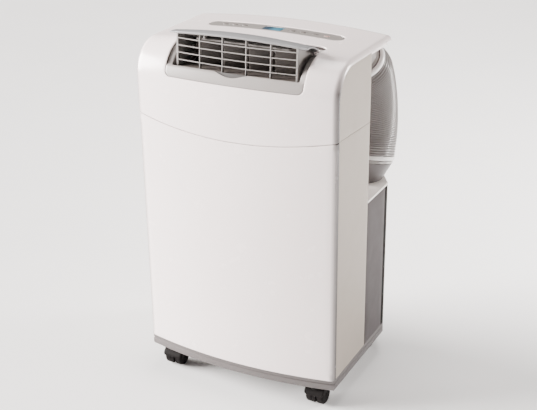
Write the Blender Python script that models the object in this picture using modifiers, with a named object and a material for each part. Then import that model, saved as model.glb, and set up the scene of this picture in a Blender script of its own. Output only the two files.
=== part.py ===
"""Portable air conditioner on four casters, with a flip-up louver pod and a stored exhaust hose.

Metres, +Z up. The front faces -Y, and the origin is on the floor under the middle of the outer box.
Depths into the cabinet are counted from FRONT, the line of its two front vertical edges.
"""

import math

import bmesh
import bpy
from mathutils import Matrix, Vector

# Cabinet
HALF_W = 0.230  # half of the width
FRONT = -0.177  # Y of the front vertical edges
FRONT_CROWN = 0.023  # how far the front bows out in the middle
BELLY = 0.004  # extra bow at the foot of the front
ROLL_Z = 0.6965  # where the front starts to roll into the top
ROLL_R = 0.070  # radius of the roll at the sides
TOP_CROWN = 0.0127  # rise of the top in the middle
REAR_EDGE = FRONT + 0.275  # rear edge of the top cover
SIDE_REAR = FRONT + 0.1674  # rear edge of the side panels
HOUSING_REAR = FRONT + 0.268  # where the dark back cover starts
BACK = FRONT + 0.340  # back of the lower housing
CORNER_Y = FRONT + 0.280  # where the lower sides turn in
CORNER_R = 0.012
CORNER_SLANT = math.radians(32)  # the turn at the first rear corner
BACK_R = 0.030
PANEL_Z = 0.0774  # foot of the front and side panels
SEAM_Z = 0.6176  # seam between upper and lower front, at the sides
SEAM_DIP = 0.025  # how far the seam sinks in the middle
SIDE_SEAM_Z = 0.609  # the same seam at the rear edge of the sides
LEDGE_Z = 0.431  # ledge that carries the hose
BASE_Z = 0.0512  # underside of the base
WALL = 0.003
DRAIN_Z = 0.066
GLAND_X = -0.138  # cord gland in the rear cover
GLAND_Z = 0.098
SLOT_HALF = 0.130  # half of an intake slot in the rear cover
SLOT_HEIGHT = 0.008
SLOT_PITCH = 0.021
GRILLE_PITCH = 0.019  # slots of the recess wall
GRILLE_HEIGHT = 0.011
GAP = 0.0005  # between neighbouring covers
FLANGE = 0.009  # side return of the covers
EDGE_R = 0.006
COVER_STEP = 0.032  # between the lengthwise edges of the covers
LIP_R = 0.010

# Outlet and louver pod
MID = 0.0045  # centre of the outlet and of the control panel
OUTLET_HALF = 0.1555
BAND_LOW = 8.9 / 90  # rows of the roll, as parts of its quarter turn
BAND_TOP = 26.5 / 90
OUTLET_REAR = 1.225  # rows of the top, as 1 + part of its depth
POD_AXIS = Vector((0.0, FRONT + 0.065, 0.7534))
POD_SWING = math.radians(52)
POD_HALF = 0.1325  # half of the grid's clear width
GRID_LOW = 0.7270
GRID_PITCH = 0.0146
GRID_COLUMNS = 5
GRID_ROWS = 5
BAR = 0.0026
VANE_PIVOT_Y = FRONT + 0.037
VANE_TURN = math.radians(-55)
VANE_PITCH = 0.058
VANE_FIRST = MID - 0.0781
VANE_PIN_OUT = 0.012  # from the vane's pivot to its drive pin
LINK_Z = 0.7865

# Control panel
PILL_HALF = 0.157
PILL_R = 0.021
PILL_Y = FRONT + 0.178
BUTTON_X = (-0.112, -0.089, -0.066, 0.046, 0.070, 0.098, 0.124)
LCD_X = 0.0015
LCD_HALF = 0.0216
LCD_DEEP = 0.0131

# Hose
HOSE_X = 0.1645
HOSE_R = 0.065
HOSE_BEND_Z = 0.545
HOSE_BACK = FRONT + 0.316
HOSE_TOP_R = 0.250
HOSE_LOW_R = 0.140
HOSE_TOP_TURN = math.radians(38)
HOSE_LOW_TURN = math.radians(16)
HOSE_HEAD = 0.012  # straight length above the top bend
HOSE_TAPER = 0.86  # part of the hose where it starts to narrow
HOSE_END_R = 0.0535
HOSE_RIBS = 22

# Fans and filters
WHEEL_FAN_R = 0.080
FILTER_FRAME = 0.007

# Casters
WHEEL_R = 0.022
TRAIL = 0.014
CASTERS = {
    "front_left": (-0.180, FRONT + 0.012),
    "front_right": (0.180, FRONT + 0.012),
    "rear_left": (-0.178, FRONT + 0.272),
    "rear_right": (0.178, FRONT + 0.272),
}

for old in list(bpy.data.objects):
    bpy.data.objects.remove(old)
PARTS = bpy.data.collections.new("portable_air_conditioner")
TOOLS = bpy.data.collections.new("cutters")
TOOLS.hide_render = True
for group in (PARTS, TOOLS):
    bpy.context.scene.collection.children.link(group)

IN_YZ = Matrix(((0, 0, 1), (1, 0, 0), (0, 1, 0))).to_4x4()  # local X, Y, Z to world Y, Z, X
IN_XZ = Matrix(((1, 0, 0), (0, 0, -1), (0, 1, 0))).to_4x4()  # local X, Y, Z to world X, Z, -Y


def material(name, colour, roughness, metallic=0.0):
    made = bpy.data.materials.new(name)
    made.use_nodes = True
    shader = made.node_tree.nodes["Principled BSDF"]
    shader.inputs["Base Color"].default_value = (*colour, 1.0)
    shader.inputs["Roughness"].default_value = roughness
    shader.inputs["Metallic"].default_value = metallic
    return made


WHITE = material("white_gloss", (0.86, 0.85, 0.83), 0.25)
SILVER = material("silver_grey", (0.58, 0.57, 0.56), 0.40)
GREY = material("housing_grey", (0.42, 0.39, 0.38), 0.45)
DARK = material("dark_grille", (0.10, 0.08, 0.07), 0.55)
BLACK = material("caster_black", (0.02, 0.02, 0.02), 0.40)
RUBBER = material("rubber", (0.03, 0.03, 0.03), 0.80)
LCD_BLUE = material("lcd", (0.10, 0.27, 0.35), 0.10)
FOAM = material("expanded_foam", (0.80, 0.80, 0.78), 0.90)
ALUMINIUM = material("fins", (0.72, 0.73, 0.74), 0.35, 1.0)
COPPER = material("copper", (0.72, 0.38, 0.22), 0.30, 1.0)
STEEL = material("steel", (0.30, 0.30, 0.31), 0.40, 1.0)
BOARD = material("board", (0.05, 0.22, 0.10), 0.50)
MESH_GREY = material("filter_mesh", (0.25, 0.27, 0.30), 0.80)


def add(name, mesh, look, helper=False):
    """A new object in the parts, or a hidden one among the cutters."""
    made = bpy.data.objects.new(name, mesh)
    (TOOLS if helper else PARTS).objects.link(made)
    if look is not None:
        mesh.materials.clear()
        mesh.materials.append(look)
    if helper:
        made.hide_render = True
        made.display_type = "WIRE"
    return made


def mesh_from(bm, name, smooth=False):
    bmesh.ops.recalc_face_normals(bm, faces=bm.faces)
    mesh = bpy.data.meshes.new(name)
    bm.to_mesh(mesh)
    bm.free()
    if smooth:
        mesh.shade_smooth()
        mesh.set_sharp_from_angle(angle=math.radians(35))
    return mesh


def box(name, low, high, look, helper=False):
    bm = bmesh.new()
    size = Vector(high) - Vector(low)
    place = Matrix.Translation((Vector(low) + Vector(high)) / 2) @ Matrix.Diagonal((*size, 1))
    bmesh.ops.create_cube(bm, size=1, matrix=place)
    return add(name, mesh_from(bm, name), look, helper)


def rod(name, start, end, radius, look, sides=16, helper=False, end_radius=None):
    """A cylinder, or a cone, between two points."""
    start, end = Vector(start), Vector(end)
    along = end - start
    place = Matrix.Translation((start + end) / 2) @ along.to_track_quat("Z", "X").to_matrix().to_4x4()
    bm = bmesh.new()
    tip = radius if end_radius is None else end_radius
    bmesh.ops.create_cone(
        bm, cap_ends=True, segments=sides, radius1=radius, radius2=tip, depth=along.length, matrix=place
    )
    return add(name, mesh_from(bm, name, smooth=True), look, helper)


def mesh_of_curve(name, curve, place):
    """The curve's mesh, with its caps welded and its place applied."""
    holder = bpy.data.objects.new(name, curve)
    bpy.context.scene.collection.objects.link(holder)
    bpy.context.view_layer.update()
    graph = bpy.context.evaluated_depsgraph_get()
    mesh = bpy.data.meshes.new_from_object(holder.evaluated_get(graph))
    bpy.data.objects.remove(holder)
    bm = bmesh.new()
    bm.from_mesh(mesh)
    bmesh.ops.remove_doubles(bm, verts=bm.verts, dist=1e-6)
    bmesh.ops.recalc_face_normals(bm, faces=bm.faces)
    bm.transform(place)
    bm.to_mesh(mesh)
    bm.free()
    return mesh


def plate(name, outlines, thickness, place, look, helper=False):
    """Flat outlines, holes included, thickened about the local plane of place."""
    curve = bpy.data.curves.new(name, "CURVE")
    curve.dimensions = "2D"
    curve.fill_mode = "BOTH"
    curve.extrude = thickness / 2
    for outline in outlines:
        spline = curve.splines.new("POLY")
        spline.points.add(len(outline) - 1)
        for point, (u, v) in zip(spline.points, outline):
            point.co = (u, v, 0, 1)
        spline.use_cyclic_u = True
    return add(name, mesh_of_curve(name, curve, place), look, helper)


def tube(name, points, radius, look, resolution=2, helper=False):
    """A round tube along points; radius is one number or one for each point."""
    radii = radius if isinstance(radius, list) else [radius] * len(points)
    curve = bpy.data.curves.new(name, "CURVE")
    curve.dimensions = "3D"
    curve.bevel_depth = 1.0
    curve.bevel_resolution = resolution
    curve.use_fill_caps = True
    spline = curve.splines.new("POLY")
    spline.points.add(len(points) - 1)
    for point, at, size in zip(spline.points, points, radii):
        point.co = (*at, 1)
        point.radius = size
    mesh = mesh_of_curve(name, curve, Matrix())
    mesh.shade_smooth()
    mesh.set_sharp_from_angle(angle=math.radians(50))
    return add(name, mesh, look, helper)


def turned(name, profile, place, look, steps=24, helper=False):
    """A profile of (radius, height) points turned about the local Z axis of place."""
    bm = bmesh.new()
    corners = [bm.verts.new((radius, 0, height)) for radius, height in profile]
    closed = profile[0][0] > 0 or profile[-1][0] > 0
    ends = corners[1:] + corners[:1] if closed else corners[1:]
    for one, other in zip(corners, ends):
        bm.edges.new((one, other))
    mesh = bpy.data.meshes.new(name)
    bm.to_mesh(mesh)
    bm.free()
    made = add(name, mesh, look, helper)
    made.matrix_world = place
    screw = made.modifiers.new("turn", "SCREW")
    screw.steps = steps
    screw.render_steps = steps
    screw.use_merge_vertices = True
    screw.merge_threshold = 1e-5
    screw.use_smooth_shade = True
    return made


def ring_loft(name, rings, look, sides=28):
    """A closed band through rings of (centre, tilt about X, radius), each joined to the next."""
    bm = bmesh.new()
    loops = []
    for centre, tilt, radius in rings:
        turn = Matrix.Rotation(tilt, 3, "X")
        angles = [2 * math.pi * step / sides for step in range(sides)]
        flat = [Vector((radius * math.cos(a), radius * math.sin(a), 0)) for a in angles]
        loops.append([bm.verts.new(Vector(centre) + turn @ spot) for spot in flat])
    for near, far in zip(loops, loops[1:] + loops[:1]):
        for step in range(sides):
            after = (step + 1) % sides
            bm.faces.new((near[step], near[after], far[after], far[step]))
    return add(name, mesh_from(bm, name, smooth=True), look)


def combine(base, others, operation):
    for other in others:
        step = base.modifiers.new(operation.lower(), "BOOLEAN")
        step.operation = operation
        step.object = other
    return base


def circle(u, v, radius, count=16):
    angles = [2 * math.pi * (step + 0.5) / count for step in range(count)]
    return [(u + radius * math.cos(a), v + radius * math.sin(a)) for a in angles]


def rectangle(u0, v0, u1, v1):
    return [(u0, v0), (u1, v0), (u1, v1), (u0, v1)]


# The crowned and rolled skin of the cabinet


def crown(x):
    return max(0.0, 1 - (x / HALF_W) ** 2)


def seam_z(x):
    return SEAM_Z - SEAM_DIP * crown(x)


def upper_seam(x):
    """Row of the upper cover's lower edge."""
    return seam_z(x) + GAP - ROLL_Z


def lower_seam(x):
    """Row of the front panel's upper edge."""
    return seam_z(x) - GAP - ROLL_Z


def skin_point(x, row, depth=0.0):
    """A point depth metres inside the skin.

    row < 0 is on the front, that far below the roll; 0 to 1 runs through the roll, 1 to 2 over the top
    to its rear edge, and 2 to 3 round the rear lip.
    """
    rise = TOP_CROWN * crown(x)
    radius = ROLL_R + rise
    front = FRONT - FRONT_CROWN * crown(x)
    top = ROLL_Z + radius
    if row < 0:
        z = ROLL_Z + row
        below = max(0.0, SEAM_Z - z) / (SEAM_Z - PANEL_Z)
        return Vector((x, front - BELLY * below * crown(x) + depth, z))
    if row <= 1:
        turn = row * math.pi / 2
        reach = radius - depth
        return Vector((x, front + radius - reach * math.cos(turn), ROLL_Z + reach * math.sin(turn)))
    roll_end = front + radius
    if row <= 2:
        return Vector((x, roll_end + (row - 1) * (REAR_EDGE - LIP_R - roll_end), top - depth))
    turn = (row - 2) * math.pi / 2
    reach = LIP_R - depth
    return Vector((x, REAR_EDGE - LIP_R + reach * math.sin(turn), top - LIP_R + reach * math.cos(turn)))


def row_at(row, x):
    return row(x) if callable(row) else row


def skin(name, columns, rows, thickness, look, helper=False, move=None):
    """A patch of the skin. columns(row) lists its (x, depth) pairs, and a row may be a function of x."""
    count = len(columns(rows[0]))
    bm = bmesh.new()
    bmesh.ops.create_grid(bm, x_segments=count - 1, y_segments=len(rows) - 1, size=1)
    for vert in bm.verts:
        column = round((vert.co.x + 1) / 2 * (count - 1))
        row = rows[round((vert.co.y + 1) / 2 * (len(rows) - 1))]
        x, depth = columns(row)[column]
        vert.co = skin_point(x, row_at(row, x), depth)
    if move is not None:
        bm.transform(move)
    mesh = bpy.data.meshes.new(name)
    bm.to_mesh(mesh)
    bm.free()
    mesh.shade_smooth()
    mesh.set_sharp_from_angle(angle=math.radians(35))
    made = add(name, mesh, look, helper)
    shell = made.modifiers.new("shell", "SOLIDIFY")
    shell.thickness = thickness
    shell.offset = -1
    shell.use_even_offset = True
    return made


def cover_columns(_row):
    flat = HALF_W - EDGE_R
    half = [(HALF_W, FLANGE), (HALF_W, EDGE_R), (HALF_W - 0.3 * EDGE_R, 0.3 * EDGE_R), (flat, 0.0)]
    half += [(flat - COVER_STEP * step, 0.0) for step in range(1, 7)]
    return [(-x, depth) for x, depth in half] + [(0.0, 0.0)] + half[::-1]


def patch_columns(half, depth, low, high, radius=0.012, count=10):
    """Columns of a patch between two rows, with rounded corners of the given radius."""

    def columns(row):
        value = row_at(row, MID)
        to_end = min(arc_length(value) - arc_length(low), arc_length(high) - arc_length(value))
        short = max(0.0, radius - to_end)
        cut = radius - math.sqrt(max(0.0, radius**2 - short**2))
        return [(MID + (half - cut) * (2 * step / count - 1), depth) for step in range(count + 1)]

    return columns


def arc_length(row):
    """Distance along the skin's middle section, from the start of the roll."""
    radius = ROLL_R + TOP_CROWN
    quarter = radius * math.pi / 2
    if row <= 1:
        return row * quarter
    return quarter + (row - 1) * (REAR_EDGE - LIP_R - FRONT + FRONT_CROWN - radius)


def patch_rows(low, high, radius=0.012, middle=7):
    """Rows from low to high, closer together round the corners."""
    scale = arc_length(1.0)
    tight = [radius * (1 - math.cos(math.radians(angle))) / scale for angle in (0, 30, 60, 90)]
    inner = [low + tight[3] + (high - low - 2 * tight[3]) * step / middle for step in range(1, middle)]
    return [low + part for part in tight] + inner + [high - part for part in tight[::-1]]


def pill_columns(half, radius, depth):
    """Columns of a stadium-shaped patch on the top."""

    def columns(row):
        y = skin_point(MID, row).y - PILL_Y
        reach = half - radius + math.sqrt(max(1e-8, radius**2 - y**2))
        return [(MID + reach * (2 * step / 12 - 1), depth) for step in range(13)]

    return columns


def pill_rows(radius):
    start = FRONT - FRONT_CROWN * crown(MID) + ROLL_R + TOP_CROWN * crown(MID)
    span = REAR_EDGE - LIP_R - start
    turns = [math.radians(angle) for angle in (-82, -60, -30, 0, 30, 60, 82)]
    return [1 + (PILL_Y + radius * math.sin(turn) - start) / span for turn in turns]


def build_covers():
    """Upper cover with its outlet and its panel slot, and the front panel below the seam."""
    rows = [upper_seam, -0.04] + [step / 8 for step in range(9)] + [1.25, 1.5, 1.75, 2, 2.33, 2.67, 3]
    cover = skin("upper_cover", cover_columns, rows, WALL, WHITE)
    low, high = BAND_LOW, OUTLET_REAR
    columns = patch_columns(OUTLET_HALF, -0.006, low, high)
    hole = skin("outlet_hole", columns, patch_rows(low, high), 0.016, None, True)
    columns = pill_columns(PILL_HALF, PILL_R, -0.004)
    slot = skin("pill_hole", columns, pill_rows(PILL_R), 0.012, None, True)
    combine(cover, [hole, slot], "DIFFERENCE")
    lower = [PANEL_Z - ROLL_Z, -0.45, -0.28, -0.15, lower_seam]
    skin("front_panel", cover_columns, lower, WALL, WHITE)


def side_outline(rear, inset):
    """The side's outline in (y, z) from the rear top corner forwards and down to the roll's foot."""
    centre_y = FRONT + ROLL_R
    reach = ROLL_R - inset
    turns = [math.radians(90 - 15 * step) for step in range(7)]
    arc = [(centre_y - reach * math.cos(turn), ROLL_Z + reach * math.sin(turn)) for turn in turns]
    return [(rear, ROLL_Z + reach)] + arc


def build_sides():
    """Upper and lower side panels, which lie inside the covers' side returns."""
    inset = FLANGE + GAP
    seam_front = SEAM_Z - 0.0004
    for side, label in ((-1, "left"), (1, "right")):
        place = Matrix.Translation((side * (HALF_W - 0.0035), 0, 0)) @ IN_YZ
        upper = side_outline(SIDE_REAR, inset)
        upper += [(FRONT + inset, seam_front + GAP), (SIDE_REAR, SIDE_SEAM_Z + GAP)]
        plate(f"side_upper_{label}", [upper], WALL, place, WHITE)
        lower = [
            (FRONT + inset, seam_front - GAP),
            (FRONT + inset, PANEL_Z),
            (SIDE_REAR, PANEL_Z),
            (SIDE_REAR, SIDE_SEAM_Z - GAP),
        ]
        plate(f"side_lower_{label}", [lower], WALL, place, WHITE)


def rear_plan(inset, start, steps=3):
    """Plan outline of the lower housing from start, round the rear corners, as (x, y) points."""
    half = HALF_W - 0.002
    first = (half - CORNER_R, CORNER_Y)
    drop = BACK - BACK_R - CORNER_Y
    shift = (drop * math.sin(CORNER_SLANT) + BACK_R - CORNER_R) / math.cos(CORNER_SLANT)
    second = (first[0] - shift, BACK - BACK_R)
    corner = []
    quarter = math.pi / 2
    bends = ((first, CORNER_R, 0, CORNER_SLANT), (second, BACK_R, CORNER_SLANT, quarter))
    for centre, radius, low, high in bends:
        for step in range(steps + 1):
            turn = low + (high - low) * step / steps
            reach = radius - inset
            corner.append((centre[0] + reach * math.cos(turn), centre[1] + reach * math.sin(turn)))
    right = [(half - inset, start)] + corner
    return right + [(-x, y) for x, y in right[::-1]]


def base_front(inset, steps=10):
    """Bowed front edge of the base, from left to right."""
    half = HALF_W - 0.002 - inset
    across = [-half + 2 * half * step / steps for step in range(steps + 1)]
    return [(x, FRONT + 0.004 + inset - 0.027 * crown(x)) for x in across]


def build_base():
    """Base tray with its rim, its caster holes, and the drain with its plug."""
    outer = base_front(0) + rear_plan(0, HOUSING_REAR)
    inner = base_front(0.004) + rear_plan(0.004, HOUSING_REAR)
    rim_z = PANEL_Z - 0.0006
    floor = Matrix.Translation((0, 0, BASE_Z + 0.0025))
    holes = [circle(x, y, 0.0062, 12) for x, y in CASTERS.values()]
    tray = plate("base_tray", [outer] + holes, 0.005, floor, GREY)
    wall = Matrix.Translation((0, 0, (BASE_Z + 0.001 + rim_z) / 2))
    rim = plate("base_rim", [outer, inner], rim_z - BASE_Z - 0.001, wall, GREY, True)
    drain = (0, BACK, DRAIN_Z)
    bore = rod("drain_bore", (0, BACK - 0.02, DRAIN_Z), (0, BACK + 0.02, DRAIN_Z), 0.0085, None, 16, True)
    combine(tray, [rim], "UNION")
    combine(tray, [bore], "DIFFERENCE")
    turned(
        "drain_plug",
        [(0, 0.004), (0.0105, 0.004), (0.0105, 0.0006), (0.0079, 0.0006), (0.0070, -0.010), (0, -0.010)],
        Matrix.Translation(drain) @ Matrix.Rotation(-math.pi / 2, 4, "X"),
        RUBBER,
        16,
    )


def build_rear():
    """Grey lower housing with its ledge, the dark slotted back, and the recess behind the side panels."""
    low = PANEL_Z
    height = LEDGE_Z - low
    start = SIDE_REAR + GAP
    ledge_outline = rear_plan(0, start)
    slot_low, slot_high = -0.150, 0.092
    openings = [circle(HOSE_X, FRONT + 0.293, 0.040, 20)]
    openings += [rectangle(slot_low, FRONT + 0.3215, slot_high, FRONT + 0.3315)]
    top = Matrix.Translation((0, 0, LEDGE_Z - 0.002))
    housing = plate("lower_housing", [ledge_outline] + openings, 0.004, top, GREY)
    walls = []
    for side in (-1, 1):
        x = side * (HALF_W - 0.0038)
        near, far = (start + 0.0003, low), (HOUSING_REAR - 0.0002, LEDGE_Z - 0.001)
        walls.append(box(f"housing_side_{side}", (x - 0.0015, *near), (x + 0.0015, *far), None, True))
    combine(housing, walls, "UNION")

    outer = rear_plan(0, HOUSING_REAR + GAP)
    inner = rear_plan(WALL, HOUSING_REAR + GAP)
    middle = Matrix.Translation((0, 0, (low + LEDGE_Z - 0.0046) / 2))
    cover = plate("rear_cover", [outer + inner[::-1]], height - 0.0046, middle, DARK)
    at_back = Matrix.Translation((0, BACK, 0)) @ IN_XZ
    cut = []
    for row in range(13):
        foot = low + 0.050 + SLOT_PITCH * row
        slot = rectangle(-SLOT_HALF, foot, SLOT_HALF, foot + SLOT_HEIGHT)
        cut.append(plate(f"intake_slot_{row}", [slot], 0.02, at_back, None, True))
    inside, outside = (GLAND_X, BACK - 0.03, GLAND_Z), (GLAND_X, BACK + 0.02, GLAND_Z)
    cut.append(rod("gland_hole", inside, outside, 0.0078, None, 16, True))
    combine(cover, cut, "DIFFERENCE")
    bead = [
        (0.0042, 0.009), (0.0105, 0.009), (0.0105, 0.0006),
        (0.0072, 0.0006), (0.0072, -0.010), (0.0042, -0.010),
    ]
    turn = Matrix.Translation((GLAND_X, BACK, GLAND_Z)) @ Matrix.Rotation(-math.pi / 2, 4, "X")
    turned("cord_gland", bead, turn, RUBBER, 16)

    wall_y = SIDE_REAR - 0.014
    frame = [rectangle(-0.2245, LEDGE_Z + 0.0006, 0.2245, 0.7495)]
    grille = []
    for row in range(9):
        foot = LEDGE_Z + 0.045 + GRILLE_PITCH * row
        grille.append(rectangle(-0.190, foot, 0.060, foot + GRILLE_HEIGHT))
    back = plate("recess_wall", frame + grille, WALL, Matrix.Translation((0, wall_y, 0)) @ IN_XZ, WHITE)
    low, high = (-0.2245, wall_y - 0.0015, 0.7490), (0.2245, REAR_EDGE - 0.014, 0.7570)
    ceiling = box("recess_ceiling", low, high, WHITE, True)
    combine(back, [ceiling], "UNION")


def pod_move():
    """From the closed pose, flush with the skin, to the open rest pose."""
    to_axis = Matrix.Translation(POD_AXIS)
    return to_axis @ Matrix.Rotation(-POD_SWING, 4, "X") @ to_axis.inverted()


def visor_columns(high):
    """Columns of the visor: full width over the front, narrower where its rear dives into the outlet."""

    def columns(row):
        value = row_at(row, MID)
        part = min(1.0, max(0.0, (value - 0.84) / 0.16))
        half = OUTLET_HALF - 0.002 - 0.016 * math.sin(part * math.pi / 2)
        return patch_columns(half, 0.0, -2, high, 0.012, 10)(row)

    return columns


def visor_front(x):
    """Row of the visor's front edge."""
    return (26.5 + 5.2 * ((x - MID) / 0.150) ** 2) / 90 + 0.004


def grid_y(x, z):
    """Depth of the grid's front face, bowed like the cabinet and leaning back a little."""
    return FRONT + 0.0018 + FRONT_CROWN * ((x - MID) / HALF_W) ** 2 - 0.07 * (0.797 - z)


def bend_grid(bm):
    for vert in bm.verts:
        vert.co.y += grid_y(vert.co.x, vert.co.z)


def build_bezel():
    """Frame of the outlet, with a thumb notch in its front and a pin for the pod at each side."""
    low, high = BAND_LOW + 0.004, OUTLET_REAR - 0.002
    outer = skin(
        "outlet_bezel", patch_columns(OUTLET_HALF - 0.0005, 0.0045, low, high, 0.0115),
        patch_rows(low, high, 0.0115), 0.0035, SILVER,
    )
    cut_low = BAND_TOP - 0.035
    inner = skin(
        "bezel_opening", patch_columns(OUTLET_HALF - 0.012, -0.004, cut_low, 1.4, 0.006),
        patch_rows(cut_low, 1.4, 0.006), 0.030, None, True,
    )
    rows = patch_rows(low, BAND_TOP + 0.05, 0.0115, 3)
    band = skin(
        "bezel_band", patch_columns(OUTLET_HALF - 0.0010, 0.0, low, BAND_TOP + 0.2, 0.0125),
        [row for row in rows if row < BAND_TOP - 0.01] + [BAND_TOP + 0.0025], 0.0055, None, True,
    )
    notch = rod(
        "thumb_notch", (MID, FRONT - 0.060, 0.790), (MID, FRONT + 0.010, 0.7545), 0.042, None, 32, True
    )
    side_walls = []
    for side in (-1, 1):
        x = MID + side * (OUTLET_HALF - 0.0098)
        under = [skin_point(x, row, 0.0064) for row in (0.16, 0.3, 0.45, 0.6, 0.75, 0.9, 1.05, 1.17)]
        outline = [(point.y, point.z) for point in under]
        outline += [(FRONT + 0.100, 0.738), (FRONT + 0.030, 0.706)]
        place = Matrix.Translation((x, 0, 0)) @ IN_YZ
        side_walls.append(plate(f"bezel_wall_{side}", [outline], 0.0036, place, None, True))
        pin = (x - side * 0.0105, POD_AXIS.y, POD_AXIS.z)
        side_walls.append(rod(f"pod_pin_{side}", (x, *pin[1:]), pin, 0.0040, None, 16, True))
    combine(outer, [inner], "DIFFERENCE")
    combine(outer, [band], "UNION")
    combine(outer, [notch], "DIFFERENCE")
    combine(outer, side_walls, "UNION")


def grid_outline():
    """Frame and openings of the grid, as (x, z) outlines."""
    half = POD_HALF + 0.0035
    top = [(MID + half * step / 6, visor_under(MID + half * step / 6)) for step in range(6, -7, -1)]
    outer = [(MID - half, GRID_LOW - BAR), (MID + half, GRID_LOW - BAR)] + top
    holes = []
    width = 2 * POD_HALF / GRID_COLUMNS
    for column in range(GRID_COLUMNS):
        left = MID - POD_HALF + column * width + BAR / 2
        for row in range(GRID_ROWS):
            base = GRID_LOW + row * GRID_PITCH + BAR / 2
            head = base + GRID_PITCH - BAR
            if row == GRID_ROWS - 1:
                head = min(visor_under(left), visor_under(left + width)) - 0.0030
            holes.append(rectangle(left, base, left + width - BAR, head))
    return [outer] + holes


def visor_under(x):
    """Height of the middle of the visor's front edge at x, in the open pose."""
    return (pod_move() @ skin_point(x, visor_front(x), 0.0015)).z


def build_pod():
    """Visor, grid, cheeks, floor and link bar of the tilting pod, in its open pose."""
    low, high = BAND_TOP + 0.004, OUTLET_REAR - 0.022
    rows = [visor_front] + [row for row in patch_rows(low, high, 0.012, 8) if row > 0.42]
    pod = skin(
        "louver_pod", visor_columns(high), rows, WALL, SILVER, move=pod_move(),
    )
    middle = Matrix.Translation((0, 0.004, 0)) @ IN_XZ
    grid = plate("pod_grid", grid_outline(), 0.008, middle, None, True)
    bm = bmesh.new()
    bm.from_mesh(grid.data)
    bend_grid(bm)
    bm.to_mesh(grid.data)
    bm.free()
    joined = [grid]
    for side in (-1, 1):
        x = MID + side * (POD_HALF + 0.0020)
        under = [pod_move() @ skin_point(x, row, 0.0015) for row in (0.40, 0.55, 0.7, 0.85, 1.0)]
        front_low = grid_y(x, GRID_LOW - BAR) + 0.001
        front_top = grid_y(x, 0.793) + 0.001
        outline = [(front_low, GRID_LOW - 0.0021), (front_top, 0.7945)]
        outline += [(point.y, point.z) for point in under]
        outline += [(POD_AXIS.y + 0.013, POD_AXIS.z + 0.006), (POD_AXIS.y + 0.011, POD_AXIS.z - 0.008)]
        outline += [(POD_AXIS.y, POD_AXIS.z - 0.013), (FRONT + 0.042, GRID_LOW - 0.0021)]
        place = Matrix.Translation((x, 0, 0)) @ IN_YZ
        hole = circle(POD_AXIS.y, POD_AXIS.z, 0.0044, 16)
        joined.append(plate(f"pod_cheek_{side}", [outline, hole], 0.004, place, None, True))
    inside = POD_HALF + 0.002
    left, right = MID - inside, MID + inside
    for name, y0, y1, z in (
        ("pod_floor", FRONT + 0.006, FRONT + 0.041, GRID_LOW),
        ("pod_bar", FRONT + 0.0338, FRONT + 0.0415, LINK_Z),
    ):
        joined.append(box(name, (left, y0, z - 0.0012), (right, y1, z + 0.0012), None, True))
    combine(pod, joined, "UNION")
    holes = []
    for number, x in enumerate(vane_places(), 1):
        foot, head = (x, VANE_PIVOT_Y, 0.720), (x, VANE_PIVOT_Y, 0.792)
        holes.append(rod(f"vane_hole_{number}", foot, head, 0.0019, None, 8, True))
    combine(pod, holes, "DIFFERENCE")


def vane_places():
    return [VANE_FIRST + VANE_PITCH * step for step in range(4)]


def build_vanes():
    """Four vanes on upright pivots, and the link whose slots their drive pins stand in."""
    ahead = Vector((math.sin(VANE_TURN), -math.cos(VANE_TURN), 0)) * VANE_PIN_OUT
    turn = Matrix.Rotation(math.radians(90) + VANE_TURN, 4, "Z") @ IN_XZ
    # along the blade, the first number runs from the pivot to the vane's rear edge
    blade = [
        (-0.020, 0.7298), (0.030, 0.7298), (0.034, 0.7360),
        (0.034, 0.7600), (0.018, 0.7838), (-0.020, 0.7838),
    ]
    slots = []
    for number, x in enumerate(vane_places(), 1):
        pivot = Vector((x, VANE_PIVOT_Y, 0))
        vane = plate(f"vane_{number}", [blade], 0.0016, Matrix.Translation(pivot) @ turn, GREY)
        foot, head = pivot + Vector((0, 0, 0.7262)), pivot + Vector((0, 0, 0.7874))
        spine = rod(f"vane_spine_{number}", foot, head, 0.0015, None, 8, True)
        foot, head = pivot + ahead + Vector((0, 0, 0.7820)), pivot + ahead + Vector((0, 0, 0.7885))
        drive = rod(f"vane_drive_{number}", foot, head, 0.0012, None, 8, True)
        combine(vane, [spine, drive], "UNION")
        pin = x + ahead.x
        slots.append(rectangle(pin - 0.0024, FRONT + 0.0226, pin + 0.0024, FRONT + 0.0318))
    first = VANE_FIRST + ahead.x
    left, right = first - 0.0060, MID + POD_HALF - 0.0185
    bar = [rectangle(left, FRONT + 0.0170, right, FRONT + 0.0332)] + slots
    link = plate("vane_link", bar, 0.0030, Matrix.Translation((0, 0, LINK_Z)), SILVER)
    foot, head = (first + 0.0120, FRONT + 0.0225, 0.7875), (first + 0.0120, FRONT + 0.0225, 0.7945)
    knob = rod("link_knob", foot, head, 0.0045, None, 12, True, 0.0032)
    combine(link, [knob], "UNION")


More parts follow.
